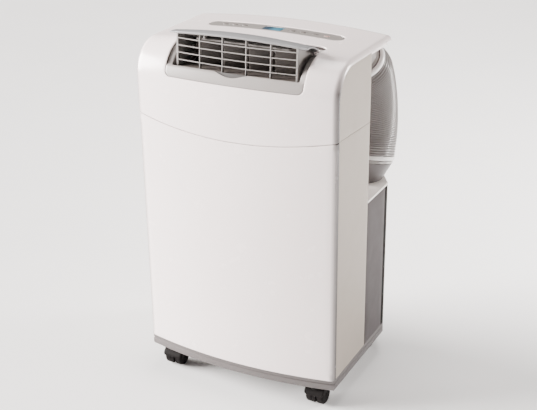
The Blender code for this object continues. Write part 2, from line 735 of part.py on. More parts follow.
def build_duct():
    """Trough behind the louver pod, open at its foot towards the blower."""

    def arc(radius, first, last, count):
        turns = [math.radians(first + (last - first) * step / count) for step in range(count + 1)]
        return [(POD_AXIS.y + radius * math.cos(turn), POD_AXIS.z + radius * math.sin(turn)) for turn in turns]

    front = arc(0.0860, 217, 246, 4) + arc(0.0885, 246, 217, 4)
    place = Matrix.Translation((MID, 0, 0)) @ IN_YZ
    width = 2 * (OUTLET_HALF - 0.0168)
    trough = plate("air_duct", [front], width, place, DARK)
    rear = [
        (FRONT + 0.0990, 0.650), (FRONT + 0.0990, 0.690),
        (FRONT + 0.1185, 0.715), (FRONT + 0.1185, 0.747),
    ]
    rear += [(y + 0.0020, z - 0.0008) for y, z in rear[:0:-1]] + [(FRONT + 0.1010, 0.650)]
    rear_wall = plate("duct_rear", [rear], width, place, None, True)
    low = POD_AXIS.z - 0.0885
    mouth = [
        (FRONT + 0.0240, 0.6503), (FRONT + 0.1000, 0.6503), (FRONT + 0.1000, 0.6895),
        (FRONT + 0.1195, 0.7145), (FRONT + 0.1195, 0.7330), (FRONT + 0.1040, 0.7330),
        (FRONT + 0.0920, 0.7280), (FRONT + 0.0520, 0.7045), (FRONT + 0.0040, 0.7045),
        (FRONT - 0.0020, 0.6980),
    ]
    ends = []
    for side in (-1, 1):
        at = Matrix.Translation((MID + side * (width / 2 - 0.0012), 0, 0)) @ IN_YZ
        ends.append(plate(f"duct_end_{side}", [mouth], 0.0014, at, None, True))
    left, right = MID - width / 2, MID + width / 2
    low, high = (left, FRONT + 0.0242, 0.6501), (right, FRONT + 0.0290, low + 0.010)
    skirt = box("duct_skirt", low, high, None, True)
    combine(trough, [rear_wall, skirt] + ends, "UNION")


def build_controls():
    """Control strip with its display window and seven keys, and the board below it."""
    columns = pill_columns(PILL_HALF - GAP, PILL_R - GAP, 0.0002)
    panel = skin("control_panel", columns, pill_rows(PILL_R - GAP), 0.0028, SILVER)
    half, deep = LCD_HALF + 0.0004, LCD_DEEP + 0.0004
    lcd = rectangle(LCD_X - half, PILL_Y - deep, LCD_X + half, PILL_Y + deep)
    above = Matrix.Translation((0, 0, 0.775))
    holes = [plate("lcd_hole", [lcd], 0.03, above, None, True)]
    for number, x in enumerate(BUTTON_X, 1):
        outline = stadium(x, PILL_Y, 0.0068, 0.0036)
        holes.append(plate(f"button_hole_{number}", [outline], 0.03, above, None, True))
        top = skin_point(x, 1.5).z
        place = Matrix.Translation((0, 0, top - 0.0016))
        plate(f"button_{number}", [stadium(x, PILL_Y, 0.0064, 0.0032)], 0.0044, place, SILVER)
    combine(panel, holes, "DIFFERENCE")
    top = skin_point(LCD_X, 1.5).z - 0.0006
    low = (LCD_X - LCD_HALF, PILL_Y - LCD_DEEP, top - 0.0030)
    high = (LCD_X + LCD_HALF, PILL_Y + LCD_DEEP, top)
    box("lcd_window", low, high, LCD_BLUE)
    box("control_board", (-0.150, PILL_Y - 0.018, 0.7605), (0.150, PILL_Y + 0.018, 0.7621), BOARD)


def stadium(x, y, half, radius, count=6):
    right = [math.radians(-90 + 180 * step / count) for step in range(count + 1)]
    ends = [(x + half - radius + radius * math.cos(a), y + radius * math.sin(a)) for a in right]
    return ends + [(2 * x - u, 2 * y - v) for u, v in ends]


def hose_at(step, count):
    """Centre of the hose and its upward direction, step of count from its foot to its head."""
    foot_length = 0.022
    low = HOSE_LOW_R * HOSE_LOW_TURN
    top = HOSE_TOP_R * HOSE_TOP_TURN
    along = (foot_length + low + top + HOSE_HEAD) * step / count
    if along < foot_length:
        turn = -HOSE_LOW_TURN
        back = foot_length - along
        y = HOSE_BACK - HOSE_LOW_R * (1 - math.cos(turn)) + back * math.sin(turn)
        z = HOSE_BEND_Z + HOSE_LOW_R * math.sin(turn) - back * math.cos(turn)
        return Vector((HOSE_X, y, z)), turn
    along -= foot_length
    beyond = max(0.0, along - low - top)
    along -= beyond
    radius = HOSE_LOW_R if along < low else HOSE_TOP_R
    turn = along / HOSE_LOW_R - HOSE_LOW_TURN if along < low else (along - low) / HOSE_TOP_R
    y = HOSE_BACK - radius * (1 - math.cos(turn)) - beyond * math.sin(turn)
    return Vector((HOSE_X, y, HOSE_BEND_Z + radius * math.sin(turn) + beyond * math.cos(turn))), turn


def hose_radius(part):
    """Outer radius, part of the way from the foot of the hose to its head."""
    narrowing = max(0.0, (part - HOSE_TAPER) / (1 - HOSE_TAPER)) ** 2
    return HOSE_R - (HOSE_R - HOSE_END_R) * narrowing


def along_hose(part, step):
    """Places out from an end of the hose: its foot at part 0, its head at part 1."""
    end, turn = hose_at(part, 1)
    way = Vector((0, -math.sin(turn), math.cos(turn))) * (1 if part else -1)
    return end + way * step, turn


def build_hose():
    """Ribbed hose with a ring at its foot, a collar at its head, and its two grey connections."""
    count = 2 * HOSE_RIBS
    spots = [hose_at(step, count)[0] for step in range(count + 1)]
    ribs = [hose_radius(step / count) - (0 if step % 2 else 0.0035) for step in range(count + 1)]
    hose = tube("exhaust_hose", spots, ribs, WHITE, 6)
    first, second = spots[0] - (spots[1] - spots[0]), spots[-1] + (spots[-1] - spots[-2])
    path = [first] + spots[::4] + [second]
    radii = [HOSE_R - 0.0060] + [hose_radius(step / count) - 0.0060 for step in range(0, count + 1, 4)]
    bore = tube("hose_bore", path, radii + [HOSE_END_R - 0.0060], None, 6, True)
    combine(hose, [bore], "DIFFERENCE")

    ring_loft("hose_foot_ring", [
        (*along_hose(0, 0.0006), 0.0655), (*along_hose(0, 0.0100), 0.0655),
        (*along_hose(0, 0.0100), 0.0570), (*along_hose(0, 0.0006), 0.0570),
    ], WHITE)
    socket = Vector((HOSE_X, FRONT + 0.2930, LEDGE_Z + 0.0006))
    tip = socket - Vector((0, 0, 0.012))
    ring_loft("hose_adapter", [
        (*along_hose(0, 0.0106), 0.0625), (*along_hose(0, 0.0190), 0.0625),
        (*along_hose(0, 0.0195), 0.0600), (socket, 0, 0.0440), (socket, 0, 0.0390), (tip, 0, 0.0390),
        (tip, 0, 0.0360), (socket, 0, 0.0360),
        (*along_hose(0, 0.0190), 0.0560), (*along_hose(0, 0.0106), 0.0560),
    ], GREY)
    ring_loft("hose_collar", [
        (*along_hose(1, 0.0130), 0.0535), (*along_hose(1, 0.0090), 0.0560),
        (*along_hose(1, 0.0012), 0.0560), (*along_hose(1, 0.0012), 0.0465),
        (*along_hose(1, 0.0130), 0.0465),
    ], WHITE)
    ceiling = Vector((HOSE_X, FRONT + 0.222, 0.7484))
    ring_loft("hose_neck", [
        (*along_hose(1, 0.0040), 0.0455), (*along_hose(1, 0.0140), 0.0455),
        (*along_hose(1, 0.0170), 0.0400), (ceiling, 0, 0.0360), (ceiling, 0, 0.0330),
        (*along_hose(1, 0.0160), 0.0370), (*along_hose(1, 0.0120), 0.0425),
        (*along_hose(1, 0.0040), 0.0425),
    ], GREY, 24)


def build_caster(label, x, y):
    """Fork with its hood and stem, and its pair of wheels on their axle."""
    swivel = Vector((x, y, 0))
    hub = swivel + Vector((0, TRAIL, WHEEL_R))
    place = Matrix.Translation(hub) @ IN_YZ
    turns = [math.radians(12 + 156 * step / 9) for step in range(10)]
    outer = [(0.0258 * math.cos(a), 0.0258 * math.sin(a)) for a in turns]
    inner = [(0.0232 * math.cos(a), 0.0232 * math.sin(a)) for a in turns[::-1]]
    hood = plate(f"caster_fork_{label}", [outer + inner], 0.0450, place, BLACK)
    web_turns = [math.radians(-30 + 240 * step / 10) for step in range(11)]
    web = [(0.0240 * math.cos(a), 0.0240 * math.sin(a)) for a in web_turns]
    middle = plate(f"web_{label}", [web, circle(0, 0, 0.0036, 12)], 0.0080, place, None, True)
    stem = rod(f"stem_{label}", (x, y, WHEEL_R + 0.019), (x, y, 0.0660), 0.0055, None, 12, True)
    combine(hood, [middle, stem], "UNION")
    profile = [
        (0, 0.0208), (0.0195, 0.0208), (WHEEL_R, 0.0185),
        (WHEEL_R, 0.0062), (0.0205, 0.0046), (0.0032, 0.0046),
    ]
    profile += [(radius, -height) for radius, height in profile[::-1]]
    spun = place @ Matrix.Rotation(math.radians(7.5), 4, "Z")
    turned(f"caster_wheels_{label}", profile, spun, RUBBER, 18)


def scroll_wall(centre, reach, turn, outlet, offset):
    """The outside of a scroll that opens upwards, from its right outlet edge round to its cut-off.

    reach is its radius at the right and at the cut-off, turn the degrees between them, and outlet its
    right edge, its left edge and its height.
    """
    right, _, top = outlet
    points = [(right + offset, top)]
    for step in range(13):
        part = step / 12
        angle = -math.radians(turn * part)
        radius = reach[0] + (reach[1] - reach[0]) * part + offset
        points.append((centre[0] + radius * math.cos(angle), centre[1] + radius * math.sin(angle)))
    return points


BLADE_LEAN = Matrix.Rotation(math.radians(35), 4, "Y")


def fan_blades(name, centre, y0, y1, radius, count):
    """Straight blades round a fan wheel, standing between its disc and its ring."""
    bm = bmesh.new()
    for step in range(count):
        turn = Matrix.Rotation(2 * math.pi * step / count, 4, "Y")
        spot = Matrix.Translation((radius - 0.009, (y0 + y1) / 2, 0)) @ BLADE_LEAN
        size = Matrix.Diagonal((0.015, y1 - y0, 0.0012, 1))
        place = Matrix.Translation((centre[0], 0, centre[1])) @ turn @ spot @ size
        bmesh.ops.create_cube(bm, size=1, matrix=place)
    return add(name, mesh_from(bm, name), None, True)


def build_fan(label, centre, y0, y1, wheel_r, reach, turn, outlet):
    """Scroll, wheel and motor of one centrifugal fan, with its axis along Y and its inlet at the rear."""
    _, left, top = outlet
    mid = Matrix.Translation((0, (y0 + y1) / 2, 0)) @ IN_XZ
    inner = scroll_wall(centre, reach, turn, outlet, 0)
    outer = scroll_wall(centre, reach, turn, outlet, 0.0025)[:-1]
    wall = outer + [(left, top - 0.003), (left, top)] + inner[::-1]
    scroll = plate(f"{label}_scroll", [wall], y1 - y0, mid, FOAM)
    side = scroll_wall(centre, reach, turn, outlet, 0.0021)[:-1] + [(left + 0.0004, top - 0.0026)]
    side[0] = (side[0][0], top - 0.0004)
    side.append((left + 0.0004, top - 0.0004))
    front = Matrix.Translation((0, y0 + 0.0015, 0)) @ IN_XZ
    rear = Matrix.Translation((0, y1 - 0.0015, 0)) @ IN_XZ
    shaft_hole, inlet = circle(*centre, 0.0065, 12), circle(*centre, wheel_r - 0.012, 24)
    cheeks = [
        plate(f"{label}_front_cheek", [side, shaft_hole], 0.0024, front, None, True),
        plate(f"{label}_rear_cheek", [side, inlet], 0.0024, rear, None, True),
    ]
    combine(scroll, cheeks, "UNION")

    axis = Matrix.Translation((centre[0], 0, centre[1])) @ Matrix.Rotation(-math.pi / 2, 4, "X")
    near, far = y0 + 0.006, y1 - 0.006
    hub = [
        (0, near + 0.010), (0.010, near + 0.010), (0.010, near + 0.0020),
        (wheel_r, near + 0.0020), (wheel_r, near), (0.010, near), (0.010, near - 0.001),
        (0.0040, near - 0.001), (0.0040, near - 0.018), (0, near - 0.018),
    ]
    wheel = turned(f"{label}_wheel", hub, axis, MESH_GREY, 24)
    edge, inner_edge = wheel_r + 0.0004, wheel_r - 0.003
    rim = [(edge, far), (edge, far - 0.004), (inner_edge, far - 0.004), (inner_edge, far)]
    ring = turned(f"{label}_ring", rim, axis, None, 24, True)
    blades = fan_blades(f"{label}_blades", centre, near + 0.0008, far - 0.002, wheel_r, 18)
    combine(wheel, [ring, blades], "UNION")

    can = [
        (0, y0 - 0.034), (0.030, y0 - 0.034), (0.034, y0 - 0.031), (0.034, y0 - 0.004),
        (0.044, y0 - 0.004),
        (0.044, y0 - 0.0006), (0.0048, y0 - 0.0006), (0.0048, y0 - 0.014), (0, y0 - 0.014),
    ]
    turned(f"{label}_motor", can[::-1], axis, STEEL, 20)


def build_inside():
    """The two air circuits and the sealed refrigerant circuit."""
    build_fan(
        "room_fan", (0, 0.545), FRONT + 0.0245, FRONT + 0.0985, WHEEL_FAN_R,
        (0.124, 0.090), 240, (0.1365, -0.128, 0.6490),
    )
    build_fan(
        "exhaust_fan", (0.060, 0.215), -0.0070, 0.0730, WHEEL_FAN_R,
        (0.146, 0.088), 300, (0.206, 0.124, 0.3340),
    )
    scroll = bpy.data.objects["exhaust_fan_scroll"]
    roof = box("scroll_roof", (0.1222, -0.0066, 0.3325), (0.2080, 0.0726, 0.3360), None, True)
    opening = rod("scroll_opening", (HOSE_X, 0.033, 0.31), (HOSE_X, 0.033, 0.35), 0.0340, None, 20, True)
    combine(scroll, [roof], "UNION")
    combine(scroll, [opening], "DIFFERENCE")
    path = [
        ((0.033, 0.3366), 0), ((0.036, 0.360), -0.5), ((0.074, 0.385), -0.9),
        ((0.111, 0.405), -0.35), ((0.116, 0.4188), 0),
    ]
    outside = [(Vector((HOSE_X, *spot)), tilt, 0.0375) for spot, tilt in path]
    inside = [(Vector((HOSE_X, *spot)), tilt, 0.0350) for spot, tilt in path]
    ring_loft("exhaust_duct", outside + inside[::-1], DARK, 20)

    tray = box("drip_tray", (-0.2235, FRONT + 0.010, 0.4080), (0.2235, -0.0100, 0.4270), FOAM)
    cuts = [box("tray_hollow", (-0.2015, FRONT + 0.070, 0.4120), (0.2015, -0.0130, 0.4400), None, True)]
    for name, y in (("suction_hole", -0.055), ("capillary_hole", -0.030)):
        cuts.append(rod(name, (-0.2125, y, 0.38), (-0.2125, y, 0.44), 0.0070, None, 12, True))
    combine(tray, cuts, "DIFFERENCE")
    for name, low, high in (
        ("evaporator", (-0.196, FRONT + 0.103, 0.4130), (0.196, FRONT + 0.146, 0.6400)),
        ("condenser", (-0.146, 0.098, 0.0900), (0.098, 0.140, 0.4000)),
    ):
        core = box(name, low, high, ALUMINIUM)
        ends = []
        for at in (low[0] + 0.006, high[0] - 0.006):
            foot = (at - 0.001, low[1] - 0.002, low[2] - 0.0004)
            head = (at + 0.001, high[1] + 0.002, high[2] + 0.002)
            ends.append(box(f"{name}_end_plate", foot, head, None, True))
        combine(core, ends, "UNION")

    body = [
        (0, 0.302), (0.014, 0.302), (0.014, 0.297), (0.040, 0.292), (0.058, 0.274), (0.060, 0.262),
        (0.060, 0.105), (0.052, 0.088), (0.076, 0.086), (0.076, 0.083), (0.030, 0.083),
        (0.024, 0.0568), (0, 0.0568),
    ]
    turned("compressor", body, Matrix.Translation((-0.125, -0.077, 0)), STEEL, 24)
    box("electronics_box", (-0.221, FRONT + 0.020, 0.450), (-0.142, FRONT + 0.085, 0.600), GREY)
    tube("discharge_pipe", [
        (-0.105, -0.062, 0.3000), (-0.105, -0.062, 0.325), (-0.118, -0.035, 0.345),
        (-0.180, 0.020, 0.350), (-0.190, 0.100, 0.350), (-0.178, 0.118, 0.350), (-0.1475, 0.119, 0.350),
    ], 0.0045, COPPER)
    down = [
        (-0.1975, -0.055, 0.500), (-0.2085, -0.055, 0.498), (-0.2125, -0.055, 0.490),
        (-0.2125, -0.055, 0.380), (-0.206, -0.077, 0.310), (-0.206, -0.077, 0.290),
    ]
    accumulator = [(-0.206, -0.077, 0.285), (-0.206, -0.077, 0.165)]
    back = [
        (-0.206, -0.077, 0.160), (-0.206, -0.077, 0.140), (-0.2000, -0.077, 0.130),
        (-0.1865, -0.077, 0.128),
    ]
    radii = [0.005] * len(down) + [0.013] * len(accumulator) + [0.005] * len(back)
    tube("suction_pipe", down + accumulator + back, radii, COPPER)
    tube("capillary_tube", [
        (-0.1475, 0.119, 0.130), (-0.185, 0.119, 0.132), (-0.213, 0.080, 0.160), (-0.2125, -0.020, 0.260),
        (-0.2125, -0.030, 0.350), (-0.2125, -0.030, 0.515), (-0.1975, -0.040, 0.530),
    ], 0.0016, COPPER, 1)


def filter_cassette(name, x, v, y, columns, rows, frame):
    """A framed filter standing in the XZ plane, between two values each of x, height v and depth y."""
    made = box(name, (x[0], y[0], v[0]), (x[1], y[1], v[1]), MESH_GREY)
    wide, high = (x[1] - x[0] - frame) / columns, (v[1] - v[0] - frame) / rows
    bm = bmesh.new()
    for column in range(columns):
        for row in range(rows):
            across = x[0] + frame / 2 + (column + 0.5) * wide
            centre = (across, (y[0] + y[1]) / 2, v[0] + frame / 2 + (row + 0.5) * high)
            size = Matrix.Diagonal((wide - frame, 0.02, high - frame, 1))
            bmesh.ops.create_cube(bm, size=1, matrix=Matrix.Translation(centre) @ size)
    windows = add(f"{name}_windows", mesh_from(bm, f"{name}_windows"), None, True)
    return combine(made, [windows], "DIFFERENCE")


def build_filters():
    """The two filter cassettes, and the rails and guides they slide in."""
    span, height, depth = (-0.148, 0.090), (0.092, 0.4300), (0.1458, 0.1528)
    lower = filter_cassette("lower_filter", span, height, depth, 3, 4, FILTER_FRAME)
    tab = box("lower_filter_tab", (-0.050, 0.1460, 0.424), (-0.008, 0.1526, 0.4420), None, True)
    combine(lower, [tab], "UNION")
    span, height, depth = (-0.206, 0.070), (0.4700, 0.6450), (-0.0088, -0.0042)
    upper = filter_cassette("upper_filter", span, height, depth, 4, 3, FILTER_FRAME)
    grip = box("upper_filter_grip", (-0.206, -0.0086, 0.545), (-0.198, 0.0060, 0.570), None, True)
    combine(upper, [grip], "UNION")
    wall = bpy.data.objects["recess_wall"]
    rails = []
    rail = [
        (-0.0230, 0.0008), (-0.0030, 0.0008), (-0.0030, -0.0030),
        (-0.0014, -0.0030), (-0.0014, 0.0050), (-0.0230, 0.0050),
    ]
    for edge, side in ((0.4700, -1), (0.6450, 1)):
        outline = [(y, edge + side * z) for y, z in rail]
        place = Matrix.Translation((-0.065, 0, 0)) @ IN_YZ
        rails.append(plate(f"filter_rail_{side}", [outline], 0.280, place, None, True))
    combine(wall, rails, "UNION")
    cover = bpy.data.objects["rear_cover"]
    guides = []
    guide = [
        (0.0010, 0.1612), (0.0010, 0.1447), (-0.0030, 0.1447),
        (-0.0030, 0.1432), (0.0040, 0.1432), (0.0040, 0.1612),
    ]
    middle = Matrix.Translation((0, 0, 0.255))
    for edge, side in ((-0.148, -1), (0.090, 1)):
        outline = [(edge + side * x, y) for x, y in guide]
        guides.append(plate(f"filter_guide_{side}", [outline], 0.330, middle, None, True))
    combine(cover, guides, "UNION")


build_covers()
build_sides()
build_base()
build_rear()
build_bezel()
build_pod()
build_vanes()
build_duct()
build_controls()
build_hose()
build_inside()
build_filters()
for corner, (caster_x, caster_y) in CASTERS.items():
    build_caster(corner, caster_x, caster_y)
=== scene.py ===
"""Looks of the portable air conditioner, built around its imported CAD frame."""

import math

import bmesh
import bpy
import numpy as np
from mathutils import Matrix, Vector
from mathutils.geometry import delaunay_2d_cdt


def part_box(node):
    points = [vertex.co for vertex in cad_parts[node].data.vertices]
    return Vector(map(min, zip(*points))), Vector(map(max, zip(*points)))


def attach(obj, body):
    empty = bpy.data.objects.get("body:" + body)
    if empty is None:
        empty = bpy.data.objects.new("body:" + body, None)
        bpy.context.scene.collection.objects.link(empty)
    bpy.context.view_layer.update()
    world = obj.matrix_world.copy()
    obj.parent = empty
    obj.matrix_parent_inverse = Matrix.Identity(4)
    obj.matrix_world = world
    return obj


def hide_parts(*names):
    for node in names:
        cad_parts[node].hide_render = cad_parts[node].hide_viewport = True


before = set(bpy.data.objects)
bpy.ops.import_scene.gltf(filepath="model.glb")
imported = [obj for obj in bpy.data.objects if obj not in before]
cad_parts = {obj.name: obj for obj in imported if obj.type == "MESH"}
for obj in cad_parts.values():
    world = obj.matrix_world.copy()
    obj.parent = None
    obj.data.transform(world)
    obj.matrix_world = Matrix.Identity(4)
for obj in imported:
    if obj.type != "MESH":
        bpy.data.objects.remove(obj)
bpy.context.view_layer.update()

# Cabinet, from the frame's boxes
PANEL_LOW, PANEL_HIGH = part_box("front_panel")
COVER_LOW, COVER_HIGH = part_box("upper_cover")
SIDE_LOW, SIDE_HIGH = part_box("side_lower_right")
HALF_W = PANEL_HIGH.x
HOUSING_HALF = HALF_W - 0.002
PANEL_Z = PANEL_LOW.z
FRONT = SIDE_LOW.y - 0.0095
REAR_EDGE = COVER_HIGH.y
SIDE_REAR = SIDE_HIGH.y
SIDE_X = SIDE_HIGH.x
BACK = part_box("lower_housing")[1].y
LEDGE_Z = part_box("lower_housing")[1].z
BASE_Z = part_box("base_tray")[0].z
HOUSING_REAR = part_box("rear_cover")[0].y - 0.0005
FRONT_CROWN = 0.023
BELLY = 0.004
ROLL_Z = 0.6965
ROLL_R = 0.070
TOP_CROWN = 0.0127
LIP_R = 0.010
EDGE_R = 0.0085
EDGE_DROP = 0.0092
CORNER_Y = FRONT + 0.280
CORNER_R = 0.012
CORNER_SLANT = math.radians(32)
BACK_R = 0.030
SEAM_Z = 0.6176
SEAM_DIP = 0.025
SIDE_SEAM_Z = 0.609
GAP = 0.0006
SIDE_GAP = 0.00005
SKIN_THICK = 0.0030
SIDE_THICK = 0.0028
DRAIN_Z = 0.066

# Outlet, louver pod and control strip
MID = 0.0045
OUTLET_HALF = 0.1555
QUARTER = (ROLL_R + TOP_CROWN) * math.pi / 2  # length of the roll at the middle
TOP_RUN = REAR_EDGE - LIP_R - FRONT + FRONT_CROWN - ROLL_R - TOP_CROWN
BAND_LOW = QUARTER * 8.9 / 90
BAND_TOP = QUARTER * 26.5 / 90
OUTLET_REAR = QUARTER + 0.225 * TOP_RUN
POD_AXIS = Vector((0.0, FRONT + 0.065, 0.7534))
POD_SWING = math.radians(52)
POD_HALF = 0.1325
VISOR_SINK = 0.0005  # the visor lies this far below the roll
VISOR_BACK = 0.0016  # and its front edge this far behind the bezel, so that it clears when closed
GRID_LOW = 0.7270
GRID_PITCH = 0.0146
GRID_ROWS = 5
GRID_COLUMNS = 5
VANE_PIVOT_Y = FRONT + 0.037
VANE_TURN = math.radians(-55)
VANE_PITCH = 0.058
VANE_FIRST = MID - 0.0781
VANE_PIN_OUT = 0.012
LINK_Z = 0.7865
PILL_HALF = 0.157
PILL_R = 0.021
PILL_Y = FRONT + 0.178
BUTTON_X = (-0.112, -0.089, -0.066, 0.046, 0.070, 0.098, 0.124)
LCD_X = 0.0015
LCD_HALF = 0.022

# Back and recess
SLOT_ROWS = 13
SLOT_PITCH = 0.021
GRILLE_ROWS = 9
GRILLE_PITCH = 0.019
BACK_TOP = LEDGE_Z - 0.0048

# Hose
HOSE_X = (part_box("exhaust_hose")[0].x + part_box("exhaust_hose")[1].x) / 2
HOSE_R = 0.065
HOSE_BEND_Z = 0.545
HOSE_BACK = FRONT + 0.316
HOSE_TOP_R = 0.250
HOSE_LOW_R = 0.140
HOSE_TOP_TURN = math.radians(38)
HOSE_LOW_TURN = math.radians(16)
HOSE_FOOT = 0.022
HOSE_HEAD = 0.012
HOSE_TAPER = 0.86
HOSE_END_R = 0.0535
HOSE_RIBS = 42
SOCKET_Y = FRONT + 0.293

CASTERS = ("front_left", "front_right", "rear_left", "rear_right")
WHEEL_R = 0.022
TYRE_R = 0.02195
HOOD_R = 0.0258
TRAIL = 0.014

# Studio
CAMERA_AT = (1.01884, -1.97381, 1.36027)
CAMERA_YAW, CAMERA_PITCH, CAMERA_ROLL = math.radians(27.65), math.radians(23.92), math.radians(-0.74)
CAMERA_LENS = 72.77
AIM = Vector((0, 0, 0.45))
WARM = (1.0, 0.955, 0.925)


# Materials


def principled(name):
    made = bpy.data.materials.new(name)
    made.use_nodes = True
    return made, made.node_tree.nodes, made.node_tree.links, made.node_tree.nodes["Principled BSDF"]


def noise(nodes, links, scale, detail=3.0, stretch=None):
    """A noise texture over the object's own coordinates, in metres."""
    place = nodes.new("ShaderNodeTexCoord")
    out = place.outputs["Object"]
    if stretch:
        scaled = nodes.new("ShaderNodeMapping")
        scaled.inputs["Scale"].default_value = stretch
        links.new(out, scaled.inputs["Vector"])
        out = scaled.outputs["Vector"]
    texture = nodes.new("ShaderNodeTexNoise")
    texture.inputs["Scale"].default_value = scale
    texture.inputs["Detail"].default_value = detail
    links.new(out, texture.inputs["Vector"])
    return texture.outputs["Fac"]


def ramp(nodes, links, source, low, high, ends=(0.3, 0.7)):
    made = nodes.new("ShaderNodeValToRGB")
    made.color_ramp.elements[0].position = ends[0]
    made.color_ramp.elements[1].position = ends[1]
    made.color_ramp.elements[0].color = (*low, 1)
    made.color_ramp.elements[1].color = (*high, 1)
    links.new(source, made.inputs["Fac"])
    return made.outputs["Color"]


def to_range(nodes, links, source, low, high):
    made = nodes.new("ShaderNodeMapRange")
    made.inputs["To Min"].default_value = low
    made.inputs["To Max"].default_value = high
    links.new(source, made.inputs["Value"])
    return made.outputs["Result"]


def bumped(nodes, links, shader, height, strength, distance):
    made = nodes.new("ShaderNodeBump")
    made.inputs["Strength"].default_value = strength
    made.inputs["Distance"].default_value = distance
    links.new(height, made.inputs["Height"])
    links.new(made.outputs["Normal"], shader.inputs["Normal"])


def shade(colour, factor):
    return tuple(min(1.0, part * factor) for part in colour)


def between(nodes, links, source, start, end):
    """0 where the source is at start, 1 at end."""
    made = nodes.new("ShaderNodeMapRange")
    made.inputs["From Min"].default_value = start
    made.inputs["From Max"].default_value = end
    links.new(source, made.inputs["Value"])
    return made.outputs["Result"]


def worked(nodes, links, operation, one, other=None):
    made = nodes.new("ShaderNodeMath")
    made.operation = operation
    links.new(one, made.inputs[0])
    if other is not None:
        links.new(other, made.inputs[1])
    return made.outputs["Value"]


def own_axes(nodes, links):
    """The object's own coordinates in metres, as X, Y and Z."""
    place = nodes.new("ShaderNodeTexCoord")
    split = nodes.new("ShaderNodeSeparateXYZ")
    links.new(place.outputs["Object"], split.inputs["Vector"])
    return split.outputs


def painted_edge_shade(nodes, links, source, colour):
    """The colour, with painted shade darkening it down the two rolled edges, where the covers meet the side
    panels; the shade fades out up the roll.
    """
    axes = own_axes(nodes, links)
    out = between(nodes, links, worked(nodes, links, "ABSOLUTE", axes["X"]), HALF_W - 0.0125, HALF_W - 0.0008)
    low = between(nodes, links, axes["Z"], ROLL_Z + 0.056, ROLL_Z + 0.020)
    mix = nodes.new("ShaderNodeMix")
    mix.data_type = "RGBA"
    links.new(worked(nodes, links, "MULTIPLY", out, low), mix.inputs["Factor"])
    links.new(source, mix.inputs["A"])
    # Painted shade: the edge colour, a tenth as bright.
    mix.inputs["B"].default_value = (*shade(colour, 0.10), 1)
    return mix.outputs["Result"]


def plastic(name, colour, roughness, grain=900.0, bump=0.15, coat=0.0, drift=0.025, gloss=0.5, edges=False):
    """Moulded plastic: faint drift of colour, uneven gloss and a fine moulded grain; edges adds painted shade
    down the rolled side edges.
    """
    made, nodes, links, shader = principled(name)
    wide = noise(nodes, links, 9.0, 4.0)
    base = ramp(nodes, links, wide, shade(colour, 1 - drift), shade(colour, 1 + drift))
    # Painted shade down the rolled side edges, where the covers meet the side panels.
    if edges:
        base = painted_edge_shade(nodes, links, base, colour)
    links.new(base, shader.inputs["Base Color"])
    smudge = noise(nodes, links, 26.0, 5.0)
    links.new(to_range(nodes, links, smudge, roughness * 0.82, roughness * 1.18), shader.inputs["Roughness"])
    fine = noise(nodes, links, grain, 2.0)
    bumped(nodes, links, shader, fine, bump, 0.0002)
    shader.inputs["Specular IOR Level"].default_value = gloss
    shader.inputs["Coat Weight"].default_value = coat
    shader.inputs["Coat Roughness"].default_value = 0.12
    return made


def metal(name, colour, roughness, stretch, bump=0.2):
    """Metal with drawn or brushed streaks."""
    made, nodes, links, shader = principled(name)
    streak = noise(nodes, links, 60.0, 4.0, stretch)
    links.new(
        ramp(nodes, links, streak, shade(colour, 0.82), shade(colour, 1.1)), shader.inputs["Base Color"]
    )
    links.new(to_range(nodes, links, streak, roughness * 0.7, roughness * 1.3), shader.inputs["Roughness"])
    bumped(nodes, links, shader, streak, bump, 0.0003)
    shader.inputs["Metallic"].default_value = 1.0
    return made


def striped(name, dark, light, pitch, axis, roughness, metallic=0.0, share=0.5):
    """Thin parallel fins, one every pitch metres along an axis."""
    made, nodes, links, shader = principled(name)
    axes = own_axes(nodes, links)
    count = nodes.new("ShaderNodeMath")
    count.operation = "MULTIPLY"
    count.inputs[1].default_value = 1 / pitch
    links.new(axes[axis], count.inputs[0])
    saw = nodes.new("ShaderNodeMath")
    saw.operation = "FRACT"
    links.new(count.outputs["Value"], saw.inputs[0])
    links.new(
        ramp(nodes, links, saw.outputs["Value"], dark, light, (share - 0.12, share + 0.12)),
        shader.inputs["Base Color"]
    )
    links.new(
        to_range(nodes, links, noise(nodes, links, 40.0), roughness * 0.8, roughness * 1.2),
        shader.inputs["Roughness"]
    )
    bumped(nodes, links, shader, saw.outputs["Value"], 0.6, pitch * 0.4)
    shader.inputs["Metallic"].default_value = metallic
    return made


def beads(name, colour):
    """Expanded polystyrene, with its packed beads."""
    made, nodes, links, shader = principled(name)
    cells = nodes.new("ShaderNodeTexVoronoi")
    cells.inputs["Scale"].default_value = 280.0
    place = nodes.new("ShaderNodeTexCoord")
    links.new(place.outputs["Object"], cells.inputs["Vector"])
    links.new(
        ramp(nodes, links, cells.outputs["Distance"], colour, shade(colour, 0.8), (0.2, 0.9)),
        shader.inputs["Base Color"]
    )
    links.new(to_range(nodes, links, noise(nodes, links, 50.0), 0.75, 0.95), shader.inputs["Roughness"])
    bumped(nodes, links, shader, cells.outputs["Distance"], 0.5, 0.001)
    return made


def screen(name, dim, lit):
    """Display: a blue field, brighter towards one side."""
    made, nodes, links, shader = principled(name)
    axes = own_axes(nodes, links)
    across_pane = between(nodes, links, axes["X"], LCD_X - LCD_HALF, LCD_X + LCD_HALF)
    links.new(ramp(nodes, links, across_pane, dim, lit, (0.30, 0.62)), shader.inputs["Base Color"])
    links.new(to_range(nodes, links, noise(nodes, links, 30.0), 0.08, 0.16), shader.inputs["Roughness"])
    shader.inputs["Coat Weight"].default_value = 1.0
    shader.inputs["Coat Roughness"].default_value = 0.04
    return made
